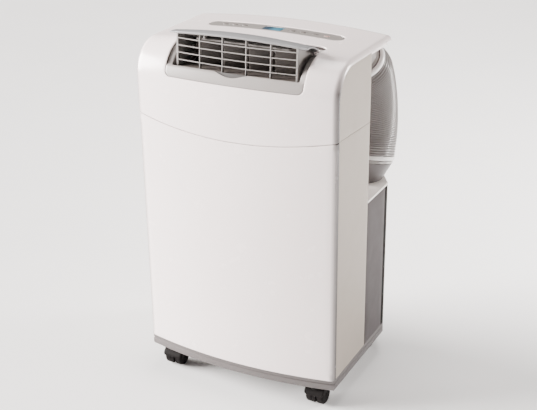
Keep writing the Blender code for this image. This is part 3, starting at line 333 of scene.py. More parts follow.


# The white covers carry painted shade down their rolled side edges.
WHITE = plastic("white_shell", (0.80, 0.718, 0.708), 0.26, 700.0, 0.06, 0.35, 0.012, edges=True)
SIDE = plastic("side_shell", (0.300, 0.262, 0.222), 0.42, 700.0, 0.10, 0.05, 0.015, 0.25)
SILVER = plastic("silver_bezel", (0.275, 0.255, 0.245), 0.34, 800.0, 0.10, 0.15)
VISOR = plastic("visor_grey", (0.205, 0.205, 0.212), 0.30, 800.0, 0.08, 0.25)
BARS = plastic("grid_grey", (0.205, 0.193, 0.185), 0.38, 800.0, 0.10, 0.05)
VANE = plastic("vane_grey", (0.098, 0.084, 0.077), 0.50, 700.0, 0.15)
DECK = plastic("ledge_light", (0.78, 0.74, 0.70), 0.36, 700.0, 0.10, 0.15)
HOUSING = plastic("housing_grey", (0.064, 0.056, 0.058), 0.55, 600.0, 0.20, gloss=0.12)
BASE = plastic("base_grey", (0.098, 0.088, 0.087), 0.50, 600.0, 0.18, gloss=0.3)
DARK = plastic("dark_grille", (0.010, 0.008, 0.007), 0.75, 500.0, 0.25, gloss=0.10)
INNER = plastic("duct_dark", (0.035, 0.030, 0.028), 0.60, 500.0, 0.20)
BLACK = plastic("caster_nylon", (0.0045, 0.0034, 0.0034), 0.50, 700.0, 0.12, gloss=0.10)
TREAD = plastic("caster_tread", (0.0060, 0.0045, 0.0045), 0.62, 1400.0, 0.35, gloss=0.10)
RUBBER = plastic("soft_rubber", (0.022, 0.021, 0.021), 0.75, 1500.0, 0.35)
HOSE = plastic("hose_film", (0.185, 0.172, 0.166), 0.30, 420.0, 0.15, 0.30, 0.03)
RING = plastic("hose_ring", (0.80, 0.785, 0.77), 0.22, 700.0, 0.06, 0.5, 0.012)
# Near-black sheet colour: painted shade in the thumb notch of the bezel.
NOTCH_SHADE = plastic("notch_painted_shade", (0.024, 0.021, 0.020), 0.45, 800.0, 0.10)
NECK = plastic("hose_neck_grey", (0.34, 0.325, 0.31), 0.24, 600.0, 0.08, 0.5)
LINK = plastic("link_grey", (0.13, 0.118, 0.112), 0.42, 800.0, 0.10)
CONE = plastic("hose_cone", (0.12, 0.110, 0.110), 0.40, 600.0, 0.18)
STRIP = plastic("control_strip", (0.20, 0.185, 0.175), 0.32, 900.0, 0.08, 0.2)
KEY = plastic("control_keys", (0.12, 0.105, 0.10), 0.38, 900.0, 0.12)
LAMP = plastic("lamp_key", (0.30, 0.20, 0.18), 0.30, 900.0, 0.08, 0.3)
LCD = screen("display_blue", (0.030, 0.055, 0.085), (0.055, 0.19, 0.27))
GAUZE = striped("filter_gauze", (0.03, 0.035, 0.04), (0.16, 0.17, 0.18), 0.0022, "X", 0.7)
FINS = striped("coil_fins", (0.25, 0.25, 0.26), (0.75, 0.76, 0.77), 0.0018, "X", 0.35, 1.0)
COPPER = metal("copper_tube", (0.70, 0.36, 0.21), 0.30, (1, 1, 8))
STEEL = metal("painted_can", (0.10, 0.10, 0.11), 0.45, (1, 1, 1), 0.1)
FOAM = beads("foam_beads", (0.80, 0.80, 0.78))
BOARD = plastic("circuit_board", (0.03, 0.16, 0.06), 0.45, 300.0, 0.4)


# Mesh tools


def piece(name, mesh, look, replaces=(), body="cabinet", sharp=40):
    """A finished object of one mesh, or of a list of them, that rides on a body and stands for CAD nodes."""
    if isinstance(mesh, list):
        mesh = joined(mesh)
    mesh.name = name
    made = bpy.data.objects.new(name, mesh)
    bpy.context.scene.collection.objects.link(made)
    mesh.materials.clear()
    mesh.materials.append(look)
    mesh.shade_smooth()
    mesh.set_sharp_from_angle(angle=math.radians(sharp))
    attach(made, body)
    if replaces:
        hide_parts(*replaces)
    return made


def from_lists(verts, faces):
    mesh = bpy.data.meshes.new("part")
    mesh.from_pydata([tuple(vert) for vert in verts], [], faces)
    bm = bmesh.new()
    bm.from_mesh(mesh)
    bmesh.ops.remove_doubles(bm, verts=bm.verts, dist=1e-7)
    bmesh.ops.recalc_face_normals(bm, faces=bm.faces)
    bm.to_mesh(mesh)
    bm.free()
    return mesh


def joined(meshes):
    """Several meshes as one."""
    bm = bmesh.new()
    for mesh in meshes:
        bm.from_mesh(mesh)
        bpy.data.meshes.remove(mesh)
    made = bpy.data.meshes.new("part")
    bm.to_mesh(made)
    bm.free()
    return made


def area(loop):
    x, y = np.array(loop).T
    return 0.5 * float(np.sum(x * np.roll(y, -1) - y * np.roll(x, -1)))


def turned_way(loop, anticlockwise):
    return np.array(loop if (area(loop) > 0) == anticlockwise else loop[::-1])


def dense(loop, spacing):
    """A closed loop with points added, so that none are further apart than spacing."""
    made = []
    for one, other in zip(loop, list(loop[1:]) + [loop[0]]):
        one, other = np.array(one), np.array(other)
        count = max(1, math.ceil(np.linalg.norm(other - one) / spacing))
        made += [tuple(one + (other - one) * step / count) for step in range(count)]
    return made


def rounded(corners, radii, steps=6):
    """A closed outline with its corners rounded; radii is one number or one for each corner."""
    radii = radii if isinstance(radii, (list, tuple)) else [radii] * len(corners)
    made = []
    for index, radius in enumerate(radii):
        at = Vector(corners[index])
        before = (Vector(corners[index - 1]) - at).normalized()
        after = (Vector(corners[(index + 1) % len(corners)]) - at).normalized()
        if radius <= 0:
            made.append(tuple(at))
            continue
        half = before.angle(after) / 2
        centre = at + (before + after).normalized() * radius / math.sin(half)
        start = at + before * radius / math.tan(half) - centre
        sweep = math.pi - 2 * half
        if before.x * after.y - before.y * after.x > 0:
            sweep = -sweep
        for step in range(steps + 1):
            turn = Matrix.Rotation(sweep * step / steps, 2)
            made.append(tuple(centre + turn @ start))
    return made


def box_loop(u0, v0, u1, v1, radius, spacing=0.006, steps=6):
    return dense(rounded([(u0, v0), (u1, v0), (u1, v1), (u0, v1)], radius, steps), spacing)


def stadium(u, v, half, radius, steps=10):
    right = [math.radians(-90 + 180 * step / steps) for step in range(steps + 1)]
    ends = [(u + half - radius + radius * math.cos(a), v + radius * math.sin(a)) for a in right]
    return ends + [(2 * u - x, 2 * v - y) for x, y in ends]


def ring_of(u, v, radius, count=32):
    angles = [2 * math.pi * step / count for step in range(count)]
    return [(u + radius * math.cos(a), v + radius * math.sin(a)) for a in angles]


def shifted(loop, amount):
    """The loop moved to its left."""
    points = np.array(loop)
    first = points - np.roll(points, 1, 0)
    second = np.roll(points, -1, 0) - points
    first /= np.maximum(np.linalg.norm(first, axis=1, keepdims=True), 1e-12)
    second /= np.maximum(np.linalg.norm(second, axis=1, keepdims=True), 1e-12)
    near = np.stack([-first[:, 1], first[:, 0]], 1)
    far = np.stack([-second[:, 1], second[:, 0]], 1)
    both = near + far
    both /= np.maximum(np.linalg.norm(both, axis=1, keepdims=True), 1e-12)
    stretch = np.maximum((both * near).sum(1, keepdims=True), 0.35)
    return points + both * amount / stretch


def within(points, loops):
    """Which points lie inside the first loop and outside the others."""
    inside = np.zeros(len(points), bool)
    for loop in loops:
        start, end = loop, np.roll(loop, -1, 0)
        for (x0, y0), (x1, y1) in zip(start, end):
            if y0 == y1:
                continue
            crossing = (points[:, 1] > min(y0, y1)) & (points[:, 1] <= max(y0, y1))
            at = x0 + (points[:, 1] - y0) * (x1 - x0) / (y1 - y0)
            inside ^= crossing & (points[:, 0] < at)
    return inside


def fill(loops, spacing):
    """Triangles between the loops over an even grid: the points, the triangles and each loop's indices."""
    outer = loops[0]
    low, high = outer.min(0), outer.max(0)
    counts = np.maximum(1, np.ceil((high - low) / spacing).astype(int))
    axes = [np.linspace(low[k], high[k], counts[k] + 1)[1:-1] for k in (0, 1)]
    border = np.concatenate(loops)
    grid = np.array(np.meshgrid(*axes)).reshape(2, -1).T
    if len(grid):
        grid = grid[within(grid, loops)]
    if len(grid):
        nearest = np.full(len(grid), 1.0)
        for start in range(0, len(border), 256):
            gap = grid[:, None] - border[None, start:start + 256]
            nearest = np.minimum(nearest, np.sqrt((gap**2).sum(2)).min(1))
        grid = grid[nearest > 0.55 * spacing]
    points = np.concatenate([border, grid]) if len(grid) else border
    edges, places, start = [], [], 0
    for loop in loops:
        count = len(loop)
        edges += [(start + k, start + (k + 1) % count) for k in range(count)]
        places.append(range(start, start + count))
        start += count
    found = delaunay_2d_cdt([Vector(point) for point in points], edges, [], 0, 1e-9, True)
    made, _, triangles, origins = found[:4]
    index = {}
    for new, olds in enumerate(origins):
        for old in olds:
            index[old] = new
    made = np.array([tuple(point) for point in made])
    triangles = np.array([tri for tri in triangles if len(tri) == 3])
    keep = within(made[triangles].mean(1), loops)
    return made, triangles[keep].tolist(), [[index[old] for old in place] for place in places]


def shell(loops, place, thickness, edge=0.0010, spacing=0.006, steps=4):
    """A closed skin of place(u, v, depth), inside the first loop and outside the others, with round edges."""
    loops = [turned_way(loop, number == 0) for number, loop in enumerate(loops)]
    verts, faces = [], []

    def put(points, depth):
        verts.extend(place(float(u), float(v), depth) for u, v in points)
        return len(verts) - len(points)

    def bridge(rings, others):
        for ring, other in zip(rings, others):
            for near, far, low, high in zip(ring, ring[1:] + ring[:1], other, other[1:] + other[:1]):
                faces.append((near, far, high, low))

    points, triangles, rings = fill([shifted(loop, edge) for loop in loops], spacing)
    base = put(points, 0.0)
    faces += [tuple(base + corner for corner in triangle) for triangle in triangles]
    last = [[base + corner for corner in ring] for ring in rings]
    for step in range(1, steps + 1):
        turn = step / steps * math.pi / 2
        fresh = []
        for loop in loops:
            start = put(shifted(loop, edge * (1 - math.sin(turn))), edge * (1 - math.cos(turn)))
            fresh.append(list(range(start, start + len(loop))))
        bridge(last, fresh)
        last = fresh
    points, triangles, rings = fill(loops, spacing * 1.6)
    base = put(points, thickness)
    faces += [tuple(base + corner for corner in triangle[::-1]) for triangle in triangles]
    bridge(last, [[base + corner for corner in ring] for ring in rings])
    return from_lists(verts, faces)


def level(z):
    """Places a shell flat, with its outer face up at z."""
    return lambda u, v, depth: Vector((u, v, z - depth))


def upright(y):
    """Places a shell facing backwards, with its outer face at y."""
    return lambda u, v, depth: Vector((u, y - depth, v))


def sideways(x, side):
    """Places a shell facing left or right, side -1 or 1, with its outer face at x."""
    return lambda u, v, depth: Vector((x - side * depth, u, v))


def lathe(profile, place, steps=48):
    """A profile of (radius, height) points turned about the local Z axis of place."""
    verts, faces, rings = [], [], []
    for radius, height in profile:
        if radius < 1e-6:
            verts.append(place @ Vector((0, 0, height)))
            rings.append([len(verts) - 1] * steps)
            continue
        start = len(verts)
        for step in range(steps):
            turn = 2 * math.pi * step / steps
            verts.append(place @ Vector((radius * math.cos(turn), radius * math.sin(turn), height)))
        rings.append(list(range(start, start + steps)))
    closed = profile[0][0] > 1e-6
    for ring, other in zip(rings, rings[1:] + (rings[:1] if closed else [])):
        for k in range(steps):
            corners = [ring[k], ring[(k + 1) % steps], other[(k + 1) % steps], other[k]]
            faces.append(tuple(dict.fromkeys(corners)))
    return from_lists(verts, [face for face in faces if len(face) > 2])


def soft_profile(points, radius, steps=3):
    """An open profile with its inner corners rounded."""
    made = [points[0]]
    for before, at, after in zip(points, points[1:], points[2:]):
        one, two = Vector(before) - Vector(at), Vector(after) - Vector(at)
        cut = min(radius, one.length * 0.45, two.length * 0.45)
        start, end = Vector(at) + one.normalized() * cut, Vector(at) + two.normalized() * cut
        for step in range(steps + 1):
            part = step / steps
            spot = start * (1 - part) ** 2 + Vector(at) * 2 * part * (1 - part) + end * part**2
            made.append(tuple(spot))
    return made + [points[-1]]


def stitched(here, there, count):
    """Faces between two closed rings of count points, which start at these indices."""
    return [(here + k, here + (k + 1) % count, there + (k + 1) % count, there + k) for k in range(count)]


def loft(rings, cap=False):
    """A surface through rings of equal counts, closed round, with its ends capped or joined to each other."""
    verts, faces = [], []
    count = len(rings[0])
    for ring in rings:
        verts += list(ring)
    links = len(rings) if not cap else len(rings) - 1
    for number in range(links):
        faces += stitched(number * count, (number + 1) % len(rings) * count, count)
    if cap:
        faces.append(tuple(range(count))[::-1])
        faces.append(tuple(range((len(rings) - 1) * count, len(rings) * count)))
    return from_lists(verts, faces)


def bar(path, width_axis, height_axis, width, height, radius=None, steps=3):
    """A bar with rounded edges along a path."""
    radius = min(width, height) * 0.35 if radius is None else radius
    w, h = width / 2, height / 2
    section = rounded([(-w, -h), (w, -h), (w, h), (-w, h)], radius, steps)
    rings = [
        [Vector(at) + Vector(width_axis) * u + Vector(height_axis) * v for u, v in section] for at in path
    ]
    return loft(rings, cap=True)


# The crowned and rolled skin of the cabinet


def crown(x):
    return max(0.0, 1 - (x / HALF_W) ** 2)


def seam_z(x):
    return SEAM_Z - SEAM_DIP * crown(x)


def skin(x, v, down=0.0):
    """A point down metres inside the skin; v is the distance along it, from the foot of the roll."""
    rise = TOP_CROWN * crown(x)
    radius = ROLL_R + rise
    front = FRONT - FRONT_CROWN * crown(x)
    top = ROLL_Z + radius
    if v < 0:
        z = ROLL_Z + v
        below = max(0.0, SEAM_Z - z) / (SEAM_Z - PANEL_Z)
        return Vector((x, front - BELLY * below * crown(x) + down, z))
    if v <= QUARTER:
        turn = v / QUARTER * math.pi / 2
        reach = radius - down
        return Vector((x, front + radius - reach * math.cos(turn), ROLL_Z + reach * math.sin(turn)))
    roll_end = front + radius
    if v <= QUARTER + TOP_RUN:
        part = (v - QUARTER) / TOP_RUN
        return Vector((x, roll_end + part * (REAR_EDGE - LIP_R - roll_end), top - down))
    turn = min((v - QUARTER - TOP_RUN) / LIP_R, math.pi / 2)
    extra = v - QUARTER - TOP_RUN - turn * LIP_R
    reach = LIP_R - down
    return Vector(
        (x, REAR_EDGE - LIP_R + reach * math.sin(turn), top - LIP_R + reach * math.cos(turn) - extra)
    )


def edge_x(u):
    """The x of a place across the covers, whose sides roll over."""
    flat = HALF_W - EDGE_R
    if abs(u) <= flat:
        return u
    turn = min((abs(u) - flat) / EDGE_R, math.pi / 2)
    return math.copysign(flat + EDGE_R * math.sin(turn), u)


def cover(u, v, depth):
    """A point of the covers, with their rolled side edges."""
    flat = HALF_W - EDGE_R
    if abs(u) <= flat:
        return skin(u, v, depth)
    turn = min((abs(u) - flat) / EDGE_R, math.pi / 2)
    extra = abs(u) - flat - turn * EDGE_R
    reach = EDGE_R - depth
    x = math.copysign(flat + reach * math.sin(turn), u)
    return skin(x, v, EDGE_R - reach * math.cos(turn) + extra)


FULL_U = HALF_W - EDGE_R + EDGE_R * math.pi / 2 + EDGE_DROP - EDGE_R


def across(count=90):
    """Places across a cover from left to right, closer together on the rolled edges."""
    flat = HALF_W - EDGE_R
    inner = np.linspace(-flat, flat, count).tolist()
    roll = np.linspace(flat, FULL_U, 9).tolist()[1:]
    return [-u for u in roll[::-1]] + inner + roll


def build_covers():
    """Upper cover with its outlet and strip openings, and the front panel below the seam."""
    seam = [(u, seam_z(edge_x(u)) + GAP - ROLL_Z) for u in across()]
    rear = QUARTER + TOP_RUN + LIP_R * math.pi / 2
    outer = seam + [(u, rear) for u in across()[::-1]]
    hole = box_loop(
        MID - OUTLET_HALF, BAND_LOW, MID + OUTLET_HALF, OUTLET_REAR, [0.013, 0.013, 0.016, 0.016], 0.005
    )
    slot = dense([(u, v) for u, v in stadium(MID, pill_v(0), PILL_HALF, PILL_R, 16)], 0.006)
    mesh = shell([dense(outer, 0.005), hole, slot], cover, SKIN_THICK, 0.0012, 0.0052)
    piece("cover_shell", mesh, WHITE, ["upper_cover"])
    foot = [(u, PANEL_Z - ROLL_Z) for u in across()]
    head = [(u, seam_z(edge_x(u)) - GAP - ROLL_Z) for u in across()]
    mesh = shell([dense(foot + head[::-1], 0.006)], cover, SKIN_THICK, 0.0012, 0.009)
    piece("front_shell", mesh, WHITE, ["front_panel"])


def pill_v(offset):
    """Place along the skin of a line across the control strip, offset behind its middle."""
    start = skin(MID, QUARTER).y
    span = REAR_EDGE - LIP_R - start
    return QUARTER + (PILL_Y + offset - start) / span * TOP_RUN


def build_sides():
    """Upper and lower side panels, left and right."""
    inset = EDGE_DROP + GAP
    for side, label in ((-1, "left"), (1, "right")):
        place = sideways(side * SIDE_X, side)
        centre = FRONT + ROLL_R
        reach = ROLL_R - inset
        turns = [math.radians(90 - 5 * step) for step in range(19)]
        arc = [(centre - reach * math.cos(a), ROLL_Z + reach * math.sin(a)) for a in turns]
        upper = [(SIDE_REAR, ROLL_Z + reach)] + arc
        upper += [(FRONT + inset, SEAM_Z - 0.0004 + SIDE_GAP), (SIDE_REAR, SIDE_SEAM_Z + SIDE_GAP)]
        mesh = shell([dense(upper, 0.006)], place, SIDE_THICK, 0.0011, 0.012)
        piece(f"side_top_{label}", mesh, SIDE, [f"side_upper_{label}"])
        lower = [(FRONT + inset, SEAM_Z - 0.0004 - SIDE_GAP), (FRONT + inset, PANEL_Z)]
        lower += [(SIDE_REAR, PANEL_Z), (SIDE_REAR, SIDE_SEAM_Z - SIDE_GAP)]
        mesh = shell([dense(lower, 0.006)], place, SIDE_THICK, 0.0011, 0.014)
        piece(f"side_panel_{label}", mesh, SIDE, [f"side_lower_{label}"])


def plan(inset, start, steps=8):
    """Plan outline of the lower housing from its right side round the rear corners to its left side."""
    half = HOUSING_HALF
    first = (half - CORNER_R, CORNER_Y)
    drop = BACK - BACK_R - CORNER_Y
    shift = (drop * math.sin(CORNER_SLANT) + BACK_R - CORNER_R) / math.cos(CORNER_SLANT)
    second = (first[0] - shift, BACK - BACK_R)
    right = [(half - inset, start)]
    for centre, radius, low, high in (
        (first, CORNER_R, 0, CORNER_SLANT), (second, BACK_R, CORNER_SLANT, math.pi / 2)
    ):
        for step in range(steps + 1):
            turn = low + (high - low) * step / steps
            reach = radius - inset
            right.append((centre[0] + reach * math.cos(turn), centre[1] + reach * math.sin(turn)))
    return right + [(-x, y) for x, y in right[::-1]]


def base_front(inset, steps=40):
    half = HOUSING_HALF - inset
    spots = [-half + 2 * half * step / steps for step in range(steps + 1)]
    return [(x, FRONT + 0.004 + inset - 0.027 * crown(x)) for x in spots]


def walled(outline, profile):
    """A tray with its floor: each (inset, z) of the profile is a ring, and the two ends are filled."""
    loop = turned_way(outline, True)
    rings = [[Vector((x, y, z)) for x, y in shifted(loop, inset)] for inset, z in profile]
    verts, faces = [], []
    count = len(loop)
    for ring in rings:
        verts += ring
    for number in range(len(rings) - 1):
        faces += stitched(number * count, (number + 1) * count, count)
    for number in (0, len(rings) - 1):
        inset, z = profile[number]
        points, triangles, order = fill([shifted(loop, inset)], 0.03)
        index = {local: number * count + k for k, local in enumerate(order[0])}
        for local, (x, y) in enumerate(points):
            if local not in index:
                verts.append(Vector((x, y, z)))
                index[local] = len(verts) - 1
        faces += [tuple(index[corner] for corner in triangle) for triangle in triangles]
    return from_lists(verts, faces)


def build_base():
    """Base tray, and the drain plug at its back."""
    outline = dense(base_front(0) + plan(0, HOUSING_REAR), 0.012)
    rim = PANEL_Z - 0.0006
    bottom = soft_profile([(0.020, BASE_Z), (0.0, BASE_Z), (0.0, 0.066), (0.0016, 0.0668)], 0.004, 5)
    profile = bottom + [
        (0.0016, 0.0676), (0.0002, 0.0684), (0.0002, rim - 0.001), (0.0012, rim), (0.004, rim)
    ]
    profile += [(0.004, BASE_Z + 0.005), (0.020, BASE_Z + 0.005)]
    piece("base_pan", walled(outline, profile), BASE, ["base_tray"])
    turn = Matrix.Rotation(-math.pi / 2, 4, "X")
    plug = soft_profile(
        [(0.0, 0.004), (0.0105, 0.004), (0.0105, 0.0006), (0.0079, 0.0006), (0.0070, -0.010), (0, -0.010)],
        0.0008
    )
    mesh = lathe(plug, Matrix.Translation((0, BACK, DRAIN_Z)) @ turn)
    tab = shell(
        [stadium(0, 0, 0.007, 0.0022)], lambda u, v, d: Vector((u, BACK + 0.0040 - d, DRAIN_Z + v)), 0.001,
        0.0004, 0.003
    )
    piece("drain_stopper", [mesh, tab], RUBBER, ["drain_plug"], "drain_plug")


def build_rear():
    """Lower housing with its ledge, the slotted back, the cord gland and the recess."""
    side_start = SIDE_REAR + 0.0006
    outline = dense(plan(0, side_start), 0.008)
    deck_hole = ring_of(HOSE_X, SOCKET_Y, 0.0405, 48)
    deck_slot = box_loop(-0.1505, FRONT + 0.3210, 0.0925, FRONT + 0.3320, 0.001, 0.006, 3)
    deck = shell([outline, deck_hole, deck_slot], level(LEDGE_Z), 0.0044, 0.0022, 0.014, 6)
    walls = []
    for side in (-1, 1):
        loop = box_loop(side_start, PANEL_Z, HOUSING_REAR - 0.0004, BACK_TOP, 0.0008, 0.012, 2)
        walls.append(shell([loop], sideways(side * (HALF_W - 0.0022), side), 0.003, 0.0009, 0.02))
    piece("housing_shell", walls, HOUSING, ["lower_housing"])
    piece("ledge_deck", deck, DECK, [])

    path = [Vector(point) for point in plan(0, HOUSING_REAR + 0.0006, 24)]
    lengths = [0.0]
    for one, other in zip(path, path[1:]):
        lengths.append(lengths[-1] + (other - one).length)
    half = lengths[-1] / 2
    deep = [Vector(point) for point in plan(0.003, HOUSING_REAR + 0.0006, 24)]
    normals = [(point - inner) / 0.003 for point, inner in zip(path, deep)]

    def round_back(u, v, depth):
        """u is measured from the middle of the back towards the left."""
        at = min(max(u + half, 0.0), lengths[-1] - 1e-9)
        number = max(k for k, length in enumerate(lengths) if length <= at)
        number = min(number, len(path) - 2)
        one, other = path[number], path[number + 1]
        spot = one + (other - one) * ((at - lengths[number]) / (other - one).length)
        part = (spot - one).length / (other - one).length
        away = normals[number].lerp(normals[number + 1], part)
        return Vector((spot.x - away.x * depth, spot.y - away.y * depth, v))

    edge = box_loop(-half, PANEL_Z, half, BACK_TOP, 0.001, 0.006, 2)
    slots = []
    for row in range(SLOT_ROWS):
        low = PANEL_Z + 0.050 + SLOT_PITCH * row
        for left, right in ((-0.129, -0.045), (-0.042, 0.042), (0.045, 0.129)):
            slots.append(
                dense(stadium((left + right) / 2, low + 0.004, (right - left) / 2, 0.0040, 6), 0.007)
            )
    back = shell([edge] + slots, round_back, 0.003, 0.0009, 0.009, 3)
    frame_bar = [
        bar(
            [(x, BACK - 0.0045, PANEL_Z + 0.04), (x, BACK - 0.0045, BACK_TOP - 0.02)], (1, 0, 0), (0, 1, 0),
            0.002, 0.003
        )
        for x in (-0.0435, 0.0435)
    ]
    piece("back_cover", [back] + frame_bar, DARK, ["rear_cover"])

    bead = soft_profile(
        [
            (0.0042, -0.010), (0.0042, 0.009), (0.0088, 0.009), (0.0105, 0.0006), (0.0072, 0.0006),
            (0.0072, -0.010)
        ],
        0.0008
    )
    low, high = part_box("cord_gland")
    at = Matrix.Translation(
        ((low.x + high.x) / 2, BACK, (low.z + high.z) / 2)
    ) @ Matrix.Rotation(-math.pi / 2, 4, "X")
    piece("gland_turned", lathe(bead, at), RUBBER, ["cord_gland"])
    build_recess()


def build_recess():
    """White wall of the recess with its intake grille, filter rails and ceiling."""
    wall_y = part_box("recess_wall")[0].y + 0.003
    loops = [box_loop(-0.2245, LEDGE_Z + 0.0006, 0.2245, 0.7492, 0.001, 0.012, 2)]
    for row in range(GRILLE_ROWS):
        low = LEDGE_Z + 0.045 + GRILLE_PITCH * row
        loops.append(box_loop(-0.190, low, -0.067, low + 0.011, 0.002, 0.008, 3))
        loops.append(box_loop(-0.063, low, 0.060, low + 0.011, 0.002, 0.008, 3))
    wall = shell(loops, upright(wall_y), 0.003, 0.0008, 0.014, 3)
    top = shell([box_loop(-0.2245, wall_y - 0.003, 0.2245, REAR_EDGE - 0.014, 0.004, 0.012, 4)],
        lambda u, v, d: Vector((u, v, 0.7490 + d)), 0.008, 0.0012, 0.03,
    )
    rails = []
    for edge, side in ((0.4700, -1), (0.6450, 1)):
        rail = [
            (-0.0225, 0.0008), (-0.0030, 0.0008), (-0.0030, -0.0030), (-0.0014, -0.0030), (-0.0014, 0.0050),
            (-0.0225, 0.0050)
        ]
        section = rounded([(y, edge + side * z) for y, z in rail], 0.0005, 2)
        rails.append(loft([[Vector((x, y, z)) for y, z in section] for x in (-0.205, 0.075)], cap=True))
    piece("recess_lining", [wall, top] + rails, WHITE, ["recess_wall"])


def grid_y(x, z):
    return FRONT + 0.0018 + FRONT_CROWN * ((x - MID) / HALF_W) ** 2 - 0.07 * (0.797 - z)


def pod_move():
    to_axis = Matrix.Translation(POD_AXIS)
    return to_axis @ Matrix.Rotation(-POD_SWING, 4, "X") @ to_axis.inverted()


def build_bezel():
    """Outlet bezel with its thumb notch, and the cheeks that carry the pod."""
    low, high = BAND_LOW + 0.0008, OUTLET_REAR - 0.0008
    half = OUTLET_HALF - 0.0009
    opening = OUTLET_HALF - 0.0125

    def dish(u, v, depth):
        """Flush across the front band, and sunk along the sides of the opening."""
        rise = min(1.0, max(0.0, (v - BAND_TOP + 0.003) / 0.010))
        rise = rise * rise * (3 - 2 * rise)
        inward = min(1.0, max(0.0, (half - abs(u - MID)) / 0.012))
        return skin(u, v, depth + rise * (0.0042 + 0.0022 * inward) + 0.0004)

    outer = box_loop(MID - half, low, MID + half, high, [0.0125, 0.0125, 0.0155, 0.0155], 0.0032, 10)
    top = BAND_TOP + 0.0016
    notch_half, notch_deep = 0.041, 0.0100
    front = [(MID - opening, top)]
    for step in range(25):
        part = step / 24
        across_notch = -notch_half + 2 * notch_half * part
        front.append(
            (MID + across_notch, top - notch_deep * math.cos(across_notch / notch_half * math.pi / 2) ** 1.3)
        )
    front.append((MID + opening, top))
    rear = high - 0.0060
    hole = dense(
        rounded(
            front + [(MID + opening, rear), (MID - opening, rear)],
            [0.0035] + [0] * 25 + [0.0035, 0.010, 0.010], 6
        ),
        0.0032
    )
    ring = shell([outer, hole], dish, 0.0026, 0.0009, 0.0036, 4)
    # A near-black sheet in the thumb notch: painted shade where the bezel shadows the notch.
    scoop = [(MID - notch_half, top - 0.0004)] + [
        (u, v - 0.0012) for u, v in front[1:-1]
    ] + [(MID + notch_half, top - 0.0004)]
    dip = shell([dense(scoop, 0.003)], lambda u, v, d: skin(u, v, 0.0042 + d), 0.0009, 0.0002, 0.004, 1)
    piece("notch_shade_sheet", dip, NOTCH_SHADE, [])
    walls = []
    for side in (-1, 1):
        x = MID + side * (OUTLET_HALF - 0.0098)
        spots = [skin(x, QUARTER * row, 0.0074) for row in np.linspace(0.20, 1.14, 22)]
        outline = [(spot.y, spot.z) for spot in spots] + [(FRONT + 0.100, 0.738), (FRONT + 0.030, 0.706)]
        walls.append(
            shell([dense(outline, 0.004)], sideways(x + side * 0.0018, side), 0.0036, 0.0004, 0.006, 2)
        )
        profile = [(0.0040, 0), (0.0040, 0.0100), (0.0034, 0.0105), (0, 0.0105)]
        turn = Matrix.Rotation(side * -math.pi / 2, 4, "Y")
        walls.append(lathe([(0, 0)] + profile, Matrix.Translation((x, POD_AXIS.y, POD_AXIS.z)) @ turn, 32))
    piece("bezel_frame", [ring] + walls, SILVER, ["outlet_bezel"])


def visor_front(u):
    return QUARTER * ((26.5 + 5.2 * ((u - MID) / 0.150) ** 2) / 90) + VISOR_BACK


def build_pod():
    """Visor of the flip-up pod, and the grid under it."""
    high = QUARTER + (0.225 - 0.022) * TOP_RUN
    front = [(MID + u, visor_front(MID + u)) for u in np.linspace(-1, 1, 60) * (OUTLET_HALF - 0.0022)]
    side = []
    for v in np.linspace(visor_front(MID + OUTLET_HALF) + 0.002, high, 40):
        part = min(1.0, max(0.0, (v / QUARTER - 0.84) / 0.16)) if v < QUARTER else 1.0
        half = OUTLET_HALF - 0.0022 - 0.016 * math.sin(part * math.pi / 2)
        side.append((half, float(v)))
    corner = 0.012
    half, v_end = side[-1]
    side = [(h, v) for h, v in side if v < v_end - corner]
    side += [
        (
            half - corner + corner * math.cos(a), v_end - corner + corner * math.sin(a)
        ) for a in np.linspace(0, math.pi / 2, 8)
    ]
    outline = front + [(MID + h, v) for h, v in side] + [(MID - h, v) for h, v in side[::-1]]
    turn = pod_move()
    visor = shell(
        [dense(outline, 0.004)], lambda u, v, d: turn @ skin(u, v, VISOR_SINK + d), 0.0030, 0.0013, 0.0045, 5
    )
    piece("louver_visor", visor, VISOR, [], "louver")
    build_grid(turn)


def visor_under(x):
    return (pod_move() @ skin(x, visor_front(x), 0.0020)).z


